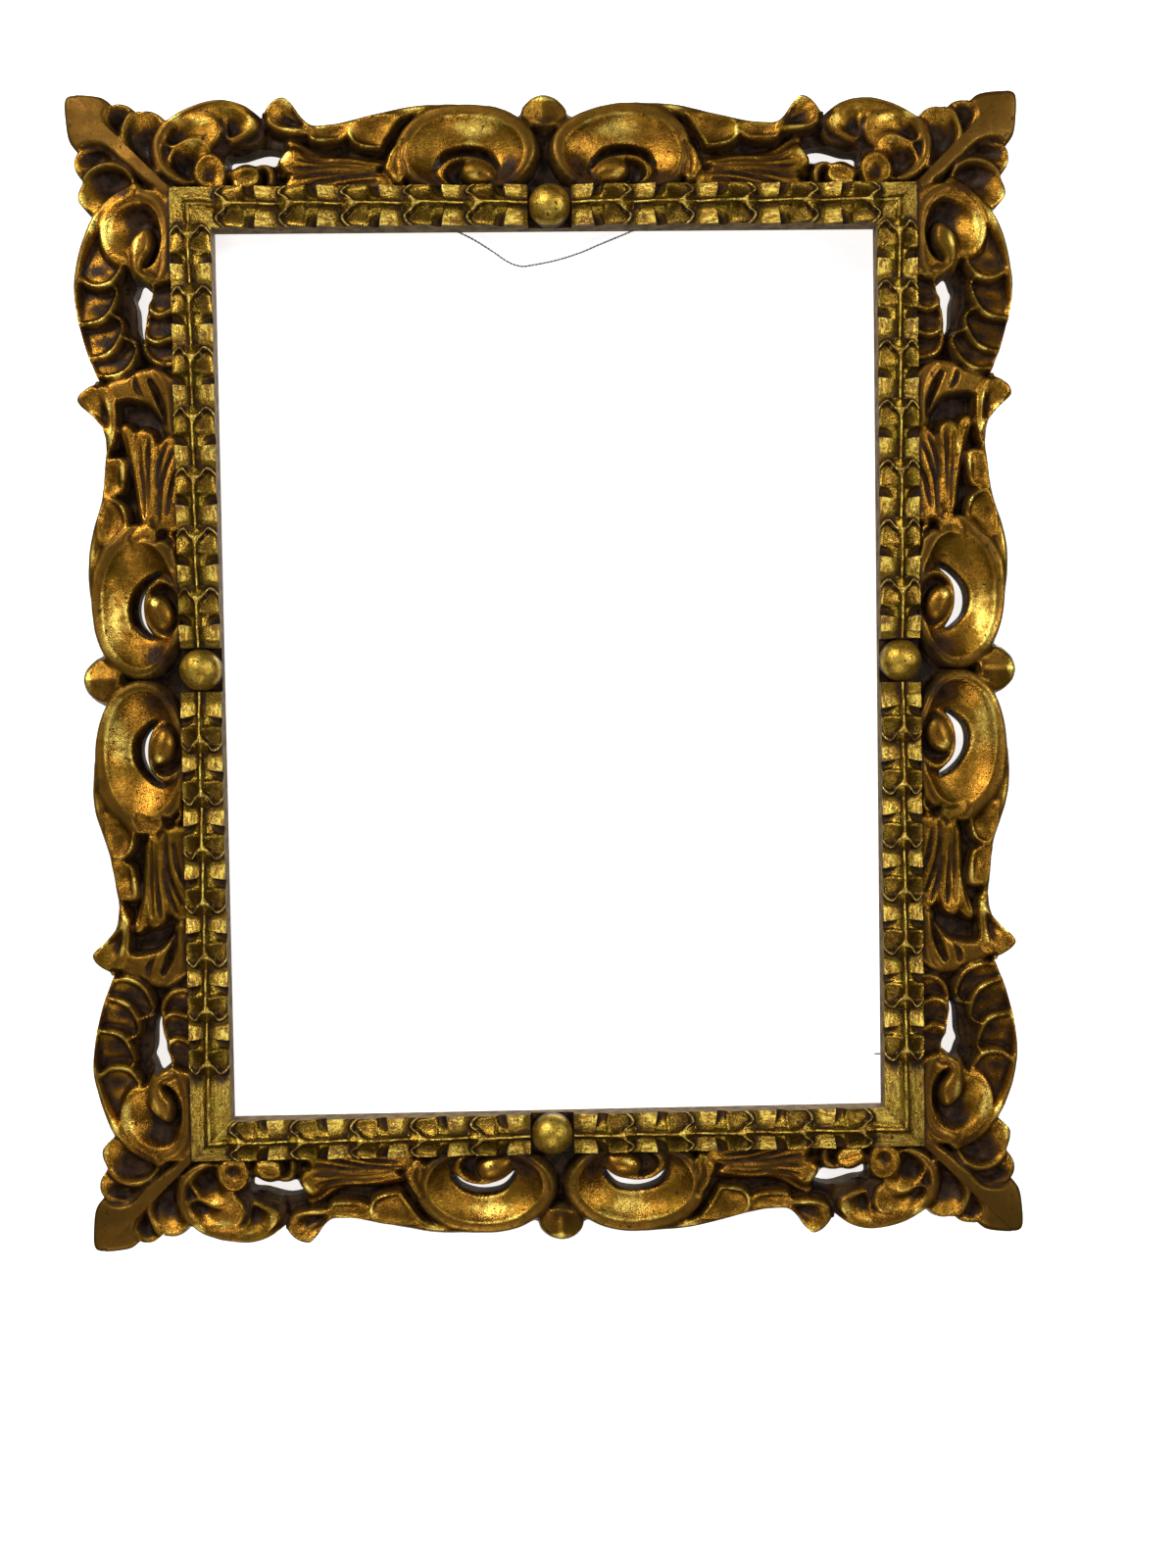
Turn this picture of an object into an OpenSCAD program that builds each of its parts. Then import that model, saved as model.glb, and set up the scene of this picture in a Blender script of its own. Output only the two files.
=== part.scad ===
// Carved and gilded picture frame. X is across, Z is up, and the wall is on the +Y side.
// The origin is the middle of the frame's box, its hanging wire left out.
// A depth is measured from the back face of the rails towards the front.

/* [Picture space] */
// Width of the space that holds the picture
picture_w = 460; // [430:1:540]
// Height of the space that holds the picture
picture_h = 613; // [580:1:720]
// How far the sight edge covers the picture on each side
lip_w = 8; // [6:0.5:10]
// Depth of the picture space behind the sight edge
rabbet_d = 12; // [10:0.5:14]

/* [Sight moulding] */
// Width of the moulding from the sight edge to the scrollwork
moulding_w = 27; // [25:0.5:31]
// Thickness of the moulding at the sight edge
sight_t = 16; // [14:0.5:18]
// Thickness of the moulding at its ridge
ridge_t = 22; // [20:0.5:25]
// Thickness of the moulding where it meets the scrollwork
shoulder_t = 15; // [13:0.5:18]
// Depth that is planed off the back of the lip, below the moulding's glue face
lip_planed = 0.3; // [0.2:0.1:1]
// Number of husks on each half of a side moulding
side_husks = 7; // [5:1:8]
// Number of husks on each half of a top or bottom moulding
end_husks = 5; // [4:1:6]
// Radius of the half-round notch at the tip of a husk
husk_notch_r = 3.4; // [2:0.1:4]
// Depth of that notch below the ridge
husk_notch_d = 4; // [2:0.5:6]
// Radius of the groove across the moulding between husks
husk_groove_r = 3; // [2:0.1:4]
// Depth of that groove below the ridge
husk_groove_d = 2; // [1:0.1:2.5]

/* [Beads] */
// Diameter of a bead
bead_dia = 28; // [24:0.5:29]
// Height of a bead's straight collar
bead_collar_h = 3; // [2:0.5:5]
// Depth of the flat seat of a bead above the picture space
bead_seat_t = 8; // [6:0.5:10]
// Diameter of a bead's peg
bead_peg_dia = 6; // [4:0.5:8]
// Length of a bead's peg
bead_peg_l = 5; // [3:0.5:5.5]
// How far the side beads sit above the middle
side_bead_up = 6; // [0:0.5:10]
// How far the top bead sits right of the middle
top_bead_right = 3; // [0:0.5:8]
// How far the bottom bead sits left of the middle
bottom_bead_left = 5; // [0:0.5:8]

/* [Carved rails] */
// Width of the carving on the side rails
side_carve_w = 68; // [60:0.5:76]
// Width of the carving on the top and bottom rails
end_carve_w = 61; // [55:0.5:68]
// Thickness of the pierced ground of the carving
ground_t = 16; // [14.5:0.5:18]
// Height of the bands and scales of the carving
band_t = 22; // [21:0.5:24]
// Height of the rims of the scrolls
scroll_t = 26; // [25:0.5:28]
// Depth of a large scroll's bowl
bowl_d = 9; // [7:0.5:10]
// Depth of the small cups in bands, lobes and scales
cup_d = 4; // [2.5:0.5:5]
// Height of the rolled eyes at their crown
eye_t = 27; // [25.5:0.5:30]
// Radius of a fluted finger of the fan
finger_r = 5.5; // [4:0.1:6]
// Height of the fluted fingers
finger_t = 23; // [21:0.5:25]
// Height of the corner leaf along its midrib
midrib_t = 25; // [23:0.5:28]
// Fall of the corner leaf from its midrib to its edges
leaf_fall = 7; // [4:0.5:8]

/* [Corner keys] */
// Length of a key across the mitre
key_l = 40; // [32:1:44]
// Width of a key at its ends
key_end_w = 20; // [18:0.5:22]
// Width of a key at its waist
key_waist_w = 12; // [8:0.5:14]
// Thickness of a key
key_t = 6; // [4:0.5:8]
// Distance of the key's middle outside the sight edge
key_out = 46; // [42:0.5:50]

/* [Hardware] */
// Diameter of a retaining brad
brad_dia = 1.2; // [1:0.1:1.6]
// Length of a retaining brad
brad_l = 22; // [20:0.5:28]
// Length of a retaining brad that is driven into the rail
brad_in = 17; // [14:0.5:18]
// Depth of the brads from the back
brad_d = 4.5; // [3.5:0.1:5]
// Distance between the screw eyes
eye_span = 300; // [280:1:320]
// Distance of the screw eyes outside the sight edge
eye_out = 46.5; // [42:0.5:50]
// Diameter of a screw eye's wire
screw_dia = 2.4; // [2:0.1:3]
// Radius of a screw eye's ring at the middle of its wire
ring_r = 5; // [4.6:0.1:6]
// Length of a screw eye's neck outside the wood
neck_l = 1; // [0.5:0.1:3]
// Length of a screw eye's shank in the wood
shank_l = 11; // [8:0.5:12]
// Diameter of the hanging wire
wire_dia = 1.4; // [1:0.1:1.6]

/* [Fits] */
// Clearance round keys, pegs, brads and shanks
fit = 0.05; // [0.02:0.01:0.1]

/* [Hidden] */
$fn = 48;
gilt = [0.70, 0.53, 0.20];
rubbed_gilt = [0.84, 0.68, 0.32];
bare_wood = [0.55, 0.42, 0.28];
steel = [0.62, 0.62, 0.60];
overrun = 1;
sight_w = picture_w - 2 * lip_w;
sight_h = picture_h - 2 * lip_w;
side_l = sight_h / 2 + moulding_w + end_carve_w;
end_l = sight_w / 2 + moulding_w + side_carve_w;
bead_r = bead_dia / 2;
bead_top = rabbet_d + bead_seat_t + bead_collar_h + bead_r;
eye_reach = neck_l + 2 * ring_r + screw_dia;
back_y = bead_top - (bead_top + eye_reach) / 2;
ring_y = back_y + neck_l + ring_r + screw_dia / 2;

// Each run is one smooth stretch of a half rail's outer edge, from the middle to the corner:
// shares of the half length, then of the carving's width
side_edge_shares = [
    [[0, 0.98], [0.021, 0.95], [0.036, 0.87], [0.044, 0.79]],
    [[0.044, 0.79], [0.078, 0.86], [0.122, 0.91], [0.171, 0.925], [0.217, 0.905],
     [0.264, 0.845], [0.31, 0.757], [0.362, 0.706], [0.409, 0.688], [0.435, 0.713]],
    [[0.435, 0.713], [0.455, 0.81], [0.473, 0.92], [0.486, 0.953], [0.499, 0.926],
     [0.51, 0.84], [0.515, 0.735]],
    [[0.515, 0.735], [0.569, 0.853], [0.621, 0.926], [0.673, 0.956], [0.719, 0.934],
     [0.761, 0.868], [0.797, 0.765]],
    [[0.797, 0.765], [0.818, 0.882], [0.838, 0.89], [0.854, 0.845]],
    [[0.854, 0.845], [0.875, 0.92], [0.893, 0.926], [0.906, 0.897]],
    [[0.906, 0.897], [0.926, 0.978], [0.957, 1], [0.988, 1], [0.999, 0.956], [1, 0.85]]];
end_edge_shares = [
    [[0, 1], [0.025, 0.99], [0.041, 0.93], [0.05, 0.81]],
    [[0.05, 0.81], [0.11, 0.89], [0.17, 0.925], [0.268, 0.89], [0.33, 0.83],
     [0.394, 0.76], [0.44, 0.70], [0.48, 0.695]],
    [[0.48, 0.695], [0.505, 0.75], [0.527, 0.90], [0.546, 0.97], [0.568, 0.94],
     [0.587, 0.85], [0.593, 0.77]],
    [[0.593, 0.77], [0.63, 0.89], [0.678, 0.95], [0.72, 0.93], [0.757, 0.86], [0.789, 0.74]],
    [[0.789, 0.74], [0.814, 0.845], [0.84, 0.86], [0.852, 0.82]],
    [[0.852, 0.82], [0.87, 0.90], [0.89, 0.925], [0.902, 0.90]],
    [[0.902, 0.90], [0.92, 0.97], [0.946, 0.995], [0.98, 1], [1, 0.97]]];
edge_steps = 4;
oval_sides = 36;
leaf_half_w = 24;
knob_half_w = 17;
knob_fall = 6;
// How far the volute's ring lies below the rim, and its hollow's floor below the ground
ring_drop = 1;
hollow_drop = 1;

// The hole that is pierced beside the corner scroll
side_hole_shares = [[0.691, 0.356], [0.673, 0.40], [0.662, 0.415], [0.644, 0.385], [0.604, 0.378],
                    [0.589, 0.313], [0.584, 0.291], [0.602, 0.284], [0.635, 0.254],
                    [0.671, 0.197], [0.681, 0.284]];
end_hole_shares = [[0.656, 0.21], [0.631, 0.262], [0.599, 0.303], [0.571, 0.287], [0.549, 0.41],
                   [0.587, 0.475], [0.637, 0.41], [0.669, 0.377]];

// Ovals give a middle as shares of the half length and of the carving's width, and then two half
// sizes as shares of the carving's width.
// Plates that rise to the bands: scales, small leaf and the two lobes beside the corner leaf
side_band_shares = [[0.655, 0.66, 0.74, 0.26], [0.60, 0.10, 0.36, 0.16], [0.825, 0.66, 0.2, 0.24],
                    [0.885, 0.72, 0.15, 0.21], [0.50, 0.28, 0.3, 0.2]];
end_band_shares = [[0.70, 0.62, 0.50, 0.32], [0.832, 0.55, 0.19, 0.31], [0.884, 0.66, 0.15, 0.27],
                   [0.76, 0.25, 0.3, 0.25], [0.62, 0.6, 0.25, 0.12]];
// Plates that rise to the rims: the large scroll, and on the side the round corner bowl
side_rim_shares = [[0.135, 0.43, 0.74, 0.49], [0.771, 0.345, 0.35, 0.345]];
end_rim_shares = [[0.171, 0.42, 0.84, 0.49]];
// Bowls sunk into those plates
side_bowl_shares = [[0.135, 0.41, 0.66, 0.385], [0.771, 0.345, 0.27, 0.265]];
end_bowl_shares = [[0.162, 0.40, 0.70, 0.41]];
// Round cups in the bands: middle along, middle across, radius
side_cup_shares = [[0.762, 0.74, 0.16], [0.717, 0.75, 0.16], [0.662, 0.74, 0.16],
                   [0.607, 0.68, 0.16], [0.553, 0.55, 0.15], [0.643, 0.11, 0.10],
                   [0.597, 0.13, 0.10], [0.556, 0.14, 0.10], [0.825, 0.70, 0.16],
                   [0.885, 0.76, 0.13]];
end_cup_shares = [[0.74, 0.72, 0.14], [0.69, 0.79, 0.15], [0.635, 0.74, 0.13],
                  [0.72, 0.47, 0.14], [0.67, 0.58, 0.10], [0.832, 0.62, 0.17],
                  [0.884, 0.74, 0.12]];
// Low domes: the two pads of the outer band and the curled leaf tip
side_dome_shares = [[0.36, 0.60, 0.17, 0.11], [0.30, 0.65, 0.18, 0.13], [0.487, 0.76, 0.16, 0.14]];
end_dome_shares = [[0.457, 0.58, 0.18, 0.12], [0.385, 0.60, 0.18, 0.13], [0.55, 0.82, 0.16, 0.13]];
// Rolled eyes: in the large scroll and in the corner scroll
side_eye_shares = [[0.112, 0.22, 0.18, 0.135], [0.74, 0.27, 0.17, 0.12]];
end_eye_shares = [[0.142, 0.185, 0.2, 0.14], [0.615, 0.16, 0.19, 0.11]];
// The raised ring round the large scroll's eye and the hollow inside it
side_ring_shares = [0.126, 0.22, 0.29, 0.185];
end_ring_shares = [0.167, 0.20, 0.35, 0.2];
side_hollow_shares = [0.122, 0.19, 0.225, 0.135];
end_hollow_shares = [0.161, 0.16, 0.27, 0.145];
// Width of the crescent that is pierced along the outside of that ring
crescent_share = 0.12;
// Fingers of the fan: foot along and across, tip along and across
side_finger_shares = [[0.29, 0.12, 0.405, 0.13], [0.285, 0.26, 0.425, 0.29],
                      [0.30, 0.38, 0.41, 0.45]];
end_finger_shares = [[0.35, 0.10, 0.55, 0.12], [0.35, 0.22, 0.56, 0.28], [0.36, 0.34, 0.54, 0.44]];

// Brads: place along the rail, and the part of its length by which a brad has worked loose
brad_side_shares = [[-0.907, 0], [-0.30, 0], [0.30, 0], [0.907, 0]];
brad_right_shares = [[-0.907, 0], [-0.30, 0], [0.30, 0], [0.868, 0.25]];
brad_end_shares = [[-0.86, 0], [0, 0], [0.86, 0]];

// Route of the hanging wire in its own plane: across, then up
wire_route = [[-127, 330], [-134, 332.4], [-140, 334.6], [-146, 336.4], [-150, 337], [-152.4, 338.2],
    [-153, 340], [-152.4, 341.8], [-150, 343], [-146, 341.8], [-141, 338.4], [-134, 335],
    [-126, 331.6], [-112, 325.6], [-98, 320], [-84, 315], [-70, 309.6], [-58, 304.4], [-48, 299.2],
    [-36, 291.4], [-26, 284.6], [-17, 281.6], [-8, 282.6], [4, 284.8], [14, 287.4], [25, 291],
    [36, 295.6], [48, 300.4], [62, 306], [77, 311.6], [92, 317], [107, 322.4], [118, 327],
    [126, 330.6], [134, 334.4], [141, 338.2], [146, 341.6], [150, 343], [152.4, 341.8], [153, 340],
    [152.4, 338.2], [150, 337], [146, 336.2], [140, 333.8], [134, 331.4], [127, 328.6]];
wire_sides = 8;
wire_steps = 2;
// Start and end of the wrapped stretch near each eye, over both strands
wrap_left = [[-137, 335], [-122, 328.8]];
wrap_right = [[137, 334.2], [122, 327.4]];
wrap_dia = 6;

function oval(c, r, n) = [for (i = [0:n - 1]) [c[0] + r[0] * cos(360 * i / n),
                                               c[1] + r[1] * sin(360 * i / n)]];
function between(a, b, c, d, t) = (2 * b + (c - a) * t + (2 * a - 5 * b + 4 * c - d) * t * t
                                   + (3 * b - a - 3 * c + d) * t * t * t) / 2;
function smooth(p, k) = [for (i = [0:len(p) - 2], j = [0:k - 1])
    between(p[max(i - 1, 0)], p[i], p[i + 1], p[min(i + 2, len(p) - 1)], j / k)];
function closed(p, k) = [for (i = [0:len(p) - 1], j = [0:k - 1])
    between(p[(i + len(p) - 1) % len(p)], p[i], p[(i + 1) % len(p)], p[(i + 2) % len(p)], j / k)];
function unit(v) = v / norm(v);
function dish_r(r, d) = (r * r + d * d) / (2 * d);

// Stands a rail's piece in its place: along to along, outward to outward, depth to the front
module place(turn, half) {
    rotate([0, turn, 0]) translate([0, back_y, half]) rotate([90, 0, 0]) children();
}

// The flat region between two distances outside the sight edge, cut by the mitres
module mitred(half, low, high) {
    polygon([[-half - low, low], [half + low, low], [half + high, high], [-half - high, high]]);
}

// A bar with round ends and a round section, lying along
module bar(r, l) {
    rotate([0, 90, 0]) rotate_extrude() intersection() {
        union() {
            translate([0, l / 2]) circle(r);
            translate([0, -l / 2]) circle(r);
            translate([-r, -l / 2]) square([2 * r, l]);
        }
        translate([0, -l / 2 - r]) square([r, l + 2 * r]);
    }
}

// An oval hollow, open at the height top, whose footprint is a bar of the given half sizes
module dish(c, half, top, depth) {
    r = dish_r(half[1], depth);
    translate([c[0], c[1], top + r - depth]) bar(r, 2 * max(half[0] - half[1], overrun));
}

// An oval dome that rises from base to top
module dome(c, half, base, top) {
    r = dish_r(half[1], top - base);
    intersection() {
        translate([c[0], c[1], top - r]) bar(r, 2 * max(half[0] - half[1], overrun));
        translate([c[0] - half[0] - overrun, c[1] - half[1] - overrun, base - overrun])
            cube([2 * half[0] + 2 * overrun, 2 * half[1] + 2 * overrun, top - base + 2 * overrun]);
    }
}

// A fluted finger of the fan
module finger(a, b) {
    l = norm(b - a);
    translate([(a[0] + b[0]) / 2, (a[1] + b[1]) / 2, finger_t - finger_r])
        rotate([0, 0, atan2(b[1] - a[1], b[0] - a[0])]) bar(finger_r, l);
}

// A roof whose ridge runs along its own X from the origin, of one slope on each side
module roof(l, half_w, top, fall) {
    rotate([90, 0, 90]) linear_extrude(l)
        polygon([[-half_w, 0], [half_w, 0], [half_w, top - fall], [0, top], [-half_w, top - fall]]);
}

// The outer edge of a rail and everything inside it, measured from the moulding outwards
module rail_outline(l, w, runs) {
    half = [for (r = runs) for (p = smooth(r, edge_steps)) [p[0] * l, p[1] * w]];
    n = len(half);
    polygon(concat([[-l, -overrun]], [for (i = [n - 1:-1:1]) [-half[i][0], half[i][1]]],
                   half, [[l, -overrun]]));
}

// Mirrored copies of a half rail's ornament
module both_halves() {
    children();
    mirror([1, 0, 0]) children();
}

// An oval plate that stands on the back
module plate(o, l, w, h) {
    linear_extrude(h) polygon(oval([o[0] * l, o[1] * w], [o[2] * w, o[3] * w], oval_sides));
}

// The raised ring of a large scroll's volute
module volute(ring, hollow, l, w) {
    difference() {
        plate(ring, l, w, scroll_t - ring_drop);
        translate([0, 0, ground_t - hollow_drop]) plate(hollow, l, w, scroll_t);
    }
}

// The thin crescent that is pierced along the outside of the volute
module crescent(ring, l, w) {
    c = [ring[0] * l, ring[1] * w];
    r = [ring[2] * w, ring[3] * w];
    gap = crescent_share * w;
    translate([0, 0, -overrun]) linear_extrude(scroll_t + 2 * overrun) difference() {
        polygon(oval([c[0], c[1] + gap], [r[0] - gap / 2, r[1]], oval_sides));
        polygon(oval(c, r, oval_sides));
        translate([c[0] - 2 * r[0], c[1] - 2 * r[1]]) square([4 * r[0], 2 * r[1]]);
    }
}

// The carved and pierced ground of one rail, with its ornament on both halves
module carving(half, l, w, edge, hole, bands, rims, bowls, cups, domes, eyes, ring, hollow, fingers) {
    intersection() {
        difference() {
            union() {
                difference() {
                    union() {
                        translate([-l, -overrun, 0]) cube([2 * l, w + 2 * overrun, ground_t]);
                        both_halves() {
                            for (b = bands) plate(b, l, w, band_t);
                            for (r = rims) plate(r, l, w, scroll_t);
                            for (f = fingers) finger([f[0] * l, f[1] * w], [f[2] * l, f[3] * w]);
                            for (d = domes)
                                dome([d[0] * l, d[1] * w], [d[2] * w, d[3] * w], ground_t, band_t);
                            translate([half + moulding_w, 0, 0]) rotate([0, 0, 45])
                                roof(2 * w, leaf_half_w, midrib_t, leaf_fall);
                        }
                        rotate([0, 0, 90]) translate([w / 2, 0, 0])
                            roof(w / 2, knob_half_w, band_t, knob_fall);
                    }
                    both_halves() {
                        for (b = bowls)
                            dish([b[0] * l, b[1] * w], [b[2] * w, b[3] * w], scroll_t, bowl_d);
                        for (c = cups)
                            dish([c[0] * l, c[1] * w], [c[2] * w, c[2] * w], band_t, cup_d);
                    }
                }
                both_halves() {
                    volute(ring, hollow, l, w);
                    for (e = eyes)
                        dome([e[0] * l, e[1] * w], [e[2] * w, e[3] * w], ground_t - hollow_drop,
                             eye_t);
                }
            }
            both_halves() {
                crescent(ring, l, w);
                translate([0, 0, -overrun]) linear_extrude(scroll_t + 2 * overrun)
                    polygon([for (p = closed(hole, edge_steps)) [p[0] * l, p[1] * w]]);
            }
        }
        linear_extrude(eye_t + midrib_t) intersection() {
            rail_outline(l, w, edge);
            translate([0, -moulding_w]) mitred(half, moulding_w, moulding_w + w + overrun);
        }
    }
}

// A bow-tie key across the mitre at the right end of a rail, in the plane of the rail
module key_outline(half, slack) {
    e = key_end_w / 2 + slack;
    m = key_waist_w / 2 + slack;
    h = key_l / 2 + slack;
    translate([half + key_out, key_out]) rotate(135)
        polygon([[-h, -e], [0, -m], [h, -e], [h, e], [0, m], [-h, e]]);
}

// Brads of one rail: their middles lie level, a part of each one in the wood
module rail_brads(places, half, slack) {
    for (p = places)
        translate([p[0] * (half + lip_w), lip_w + brad_in - p[1] * brad_l + slack, brad_d])
            rotate([90, 0, 0]) cylinder(h = brad_l + slack, r = brad_dia / 2 + slack);
}

// One whole rail: carving, seat for the moulding, pockets for keys and holes for brads
module rail(half, l, w, edge, hole, bands, rims, bowls, cups, domes, eyes, ring, hollow, fingers,
            brads, screws) {
    difference() {
        union() {
            translate([0, moulding_w, 0]) carving(half, l, w, edge, hole, bands, rims, bowls, cups,
                                                  domes, eyes, ring, hollow, fingers);
            linear_extrude(rabbet_d) mitred(half, lip_w, moulding_w + overrun);
        }
        both_halves() translate([0, 0, -overrun]) linear_extrude(key_t + overrun)
            key_outline(half, fit);
        rail_brads(brads, half, fit);
        for (x = screws) translate([x, eye_out, -overrun])
            cylinder(h = shank_l + fit + overrun, r = screw_dia / 2 + fit);
    }
}

module end_rail(screws) {
    color(gilt) rail(sight_w / 2, end_l, end_carve_w, end_edge_shares, end_hole_shares,
                     end_band_shares, end_rim_shares, end_bowl_shares, end_cup_shares,
                     end_dome_shares, end_eye_shares, end_ring_shares, end_hollow_shares,
                     end_finger_shares, brad_end_shares, screws);
}

module side_rail(brads) {
    color(gilt) rail(sight_h / 2, side_l, side_carve_w, side_edge_shares, side_hole_shares,
                     side_band_shares, side_rim_shares, side_bowl_shares, side_cup_shares,
                     side_dome_shares, side_eye_shares, side_ring_shares, side_hollow_shares,
                     side_finger_shares, brads, []);
}

// A mitred moulding strip with its husks, and the seat and hole of its bead
module moulding(half, husks, bead_at) {
    ridge = rabbet_d + ridge_t;
    seat = rabbet_d + bead_seat_t;
    first = bead_r + husk_groove_r;
    step = (half + moulding_w / 2 - first) / (husks + 1);
    color(rubbed_gilt) difference() {
        intersection() {
            rotate([90, 0, 90]) translate([0, 0, -half - 2 * moulding_w])
                linear_extrude(2 * half + 4 * moulding_w) polygon([
                    [0, rabbet_d + lip_planed], [lip_w, rabbet_d + lip_planed], [lip_w, rabbet_d],
                    [moulding_w, rabbet_d], [moulding_w, rabbet_d + shoulder_t],
                    [moulding_w / 2, ridge], [0, rabbet_d + sight_t]]);
            linear_extrude(ridge + overrun) mitred(half, 0, moulding_w);
        }
        for (side = [-1, 1], i = [1:husks]) translate([bead_at + side * (first + i * step), 0, 0]) {
            translate([0, moulding_w / 2, ridge - husk_notch_d])
                cylinder(h = husk_notch_d + overrun, r = husk_notch_r);
            translate([0, moulding_w + overrun, ridge + husk_groove_r - husk_groove_d])
                rotate([90, 0, 0]) cylinder(h = moulding_w + 2 * overrun, r = husk_groove_r);
        }
        translate([bead_at - bead_r - overrun, -overrun, seat])
            cube([bead_dia + 2 * overrun, moulding_w + 2 * overrun, ridge_t]);
        translate([bead_at, moulding_w / 2, seat - bead_peg_l - fit])
            cylinder(h = bead_peg_l + fit + overrun, r = bead_peg_dia / 2 + fit);
    }
}

// A turned bead: half-ball, collar and peg
module bead(bead_at) {
    seat = rabbet_d + bead_seat_t;
    color(rubbed_gilt) translate([bead_at, moulding_w / 2, seat]) {
        cylinder(h = bead_collar_h, r = bead_r);
        intersection() {
            translate([0, 0, bead_collar_h]) sphere(bead_r);
            cylinder(h = bead_collar_h + bead_r, r = bead_r);
        }
        translate([0, 0, -bead_peg_l]) cylinder(h = bead_peg_l + overrun, r = bead_peg_dia / 2);
    }
}

// A screw eye: its ring stands across, so that the wire's loop can swing round it
module screw_eye() {
    color(steel) {
        translate([0, ring_y, 0]) rotate([0, 90, 0]) rotate_extrude()
            translate([ring_r, 0]) circle(screw_dia / 2);
        translate([0, back_y - shank_l, 0]) rotate([-90, 0, 0])
            cylinder(h = shank_l + neck_l + screw_dia / 2, r = screw_dia / 2);
    }
}

// One ring of the wire's tube, square to the route at point i
function wire_ring(p, i) = let (
    t = unit(p[min(i + 1, len(p) - 1)] - p[max(i - 1, 0)]),
    n = [-t[1], t[0]], r = wire_dia / 2)
    [for (k = [0:wire_sides - 1]) let (a = 360 * k / wire_sides)
        [p[i][0] + n[0] * r * cos(a), ring_y + r * sin(a), p[i][1] + n[1] * r * cos(a)]];

module wrap(ends) {
    a = atan2(ends[1][1] - ends[0][1], ends[1][0] - ends[0][0]);
    translate([ends[0][0], ring_y, ends[0][1]]) rotate([0, 90 - a, 0])
        cylinder(h = norm(ends[1] - ends[0]), r = wrap_dia / 2);
}

module hanging_wire() {
    p = concat(smooth(wire_route, wire_steps), [wire_route[len(wire_route) - 1]]);
    n = len(p);
    s = wire_sides;
    color(steel) union() {
        polyhedron(
            points = [for (i = [0:n - 1]) each wire_ring(p, i)],
            faces = concat([[for (k = [s - 1:-1:0]) k]],
                [for (i = [0:n - 2], k = [0:s - 1])
                    [i * s + k, i * s + (k + 1) % s, (i + 1) * s + (k + 1) % s, (i + 1) * s + k]],
                [[for (k = [0:s - 1]) (n - 1) * s + k]]));
        wrap(wrap_left);
        wrap(wrap_right);
    }
}

module corner_key(turn, half_across, half) {
    color(bare_wood) place(turn, half_across) linear_extrude(key_t) key_outline(half, 0);
}

module retaining_brads() {
    color(steel) {
        for (turn = [0, 180]) place(turn, sight_h / 2) rail_brads(brad_end_shares, sight_w / 2, 0);
        place(90, sight_w / 2) rail_brads(brad_right_shares, sight_h / 2, 0);
        place(270, sight_w / 2) rail_brads(brad_side_shares, sight_h / 2, 0);
    }
}

place(0, sight_h / 2) end_rail([-eye_span / 2, eye_span / 2]);  // top_rail
place(180, sight_h / 2) end_rail([]);  // bottom_rail
place(270, sight_w / 2) side_rail(brad_side_shares);  // left_rail
place(90, sight_w / 2) side_rail(brad_right_shares);  // right_rail
place(0, sight_h / 2) moulding(sight_w / 2, end_husks, top_bead_right);  // top_moulding
place(180, sight_h / 2) moulding(sight_w / 2, end_husks, bottom_bead_left);  // bottom_moulding
place(270, sight_w / 2) moulding(sight_h / 2, side_husks, side_bead_up);  // left_moulding
place(90, sight_w / 2) moulding(sight_h / 2, side_husks, -side_bead_up);  // right_moulding
place(0, sight_h / 2) bead(top_bead_right);  // top_bead
place(180, sight_h / 2) bead(bottom_bead_left);  // bottom_bead
place(270, sight_w / 2) bead(side_bead_up);  // left_bead
place(90, sight_w / 2) bead(-side_bead_up);  // right_bead
corner_key(270, sight_w / 2, sight_h / 2);  // corner_key_top_left
corner_key(0, sight_h / 2, sight_w / 2);  // corner_key_top_right
corner_key(180, sight_h / 2, sight_w / 2);  // corner_key_bottom_left
corner_key(90, sight_w / 2, sight_h / 2);  // corner_key_bottom_right
retaining_brads();
translate([-eye_span / 2, 0, sight_h / 2 + eye_out]) screw_eye();  // screw_eye_left
translate([eye_span / 2, 0, sight_h / 2 + eye_out]) screw_eye();  // screw_eye_right
hanging_wire();
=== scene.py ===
# Carved and gilded picture frame. X is across, Z is up, and the wall is on the +Y side.
# A rail's own lengths are in millimetres: along it, outward from the sight edge, and depth
# from the back of the rails to the front.
import math

import bmesh
import bpy
import numpy as np
from mathutils import Matrix, Vector, noise


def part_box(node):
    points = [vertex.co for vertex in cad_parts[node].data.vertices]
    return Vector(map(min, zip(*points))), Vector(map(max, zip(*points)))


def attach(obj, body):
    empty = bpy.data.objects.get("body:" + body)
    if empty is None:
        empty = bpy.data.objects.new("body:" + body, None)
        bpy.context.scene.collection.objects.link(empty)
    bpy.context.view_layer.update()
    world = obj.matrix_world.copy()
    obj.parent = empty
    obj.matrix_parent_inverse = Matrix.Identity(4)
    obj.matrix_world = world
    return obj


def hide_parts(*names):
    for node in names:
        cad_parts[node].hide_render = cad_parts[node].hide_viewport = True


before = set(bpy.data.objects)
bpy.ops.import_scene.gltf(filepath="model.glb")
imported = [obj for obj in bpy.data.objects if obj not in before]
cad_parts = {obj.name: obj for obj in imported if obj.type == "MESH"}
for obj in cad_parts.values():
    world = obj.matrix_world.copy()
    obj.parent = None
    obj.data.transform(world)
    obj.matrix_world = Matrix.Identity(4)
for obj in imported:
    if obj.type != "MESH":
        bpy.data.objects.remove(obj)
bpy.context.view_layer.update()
MM = 0.001


def mm(node, corner, axis):
    """A side of a node's box: corner 0 is its lowest and corner 1 its highest."""
    return round(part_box(node)[corner][axis] / MM, 1)


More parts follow.
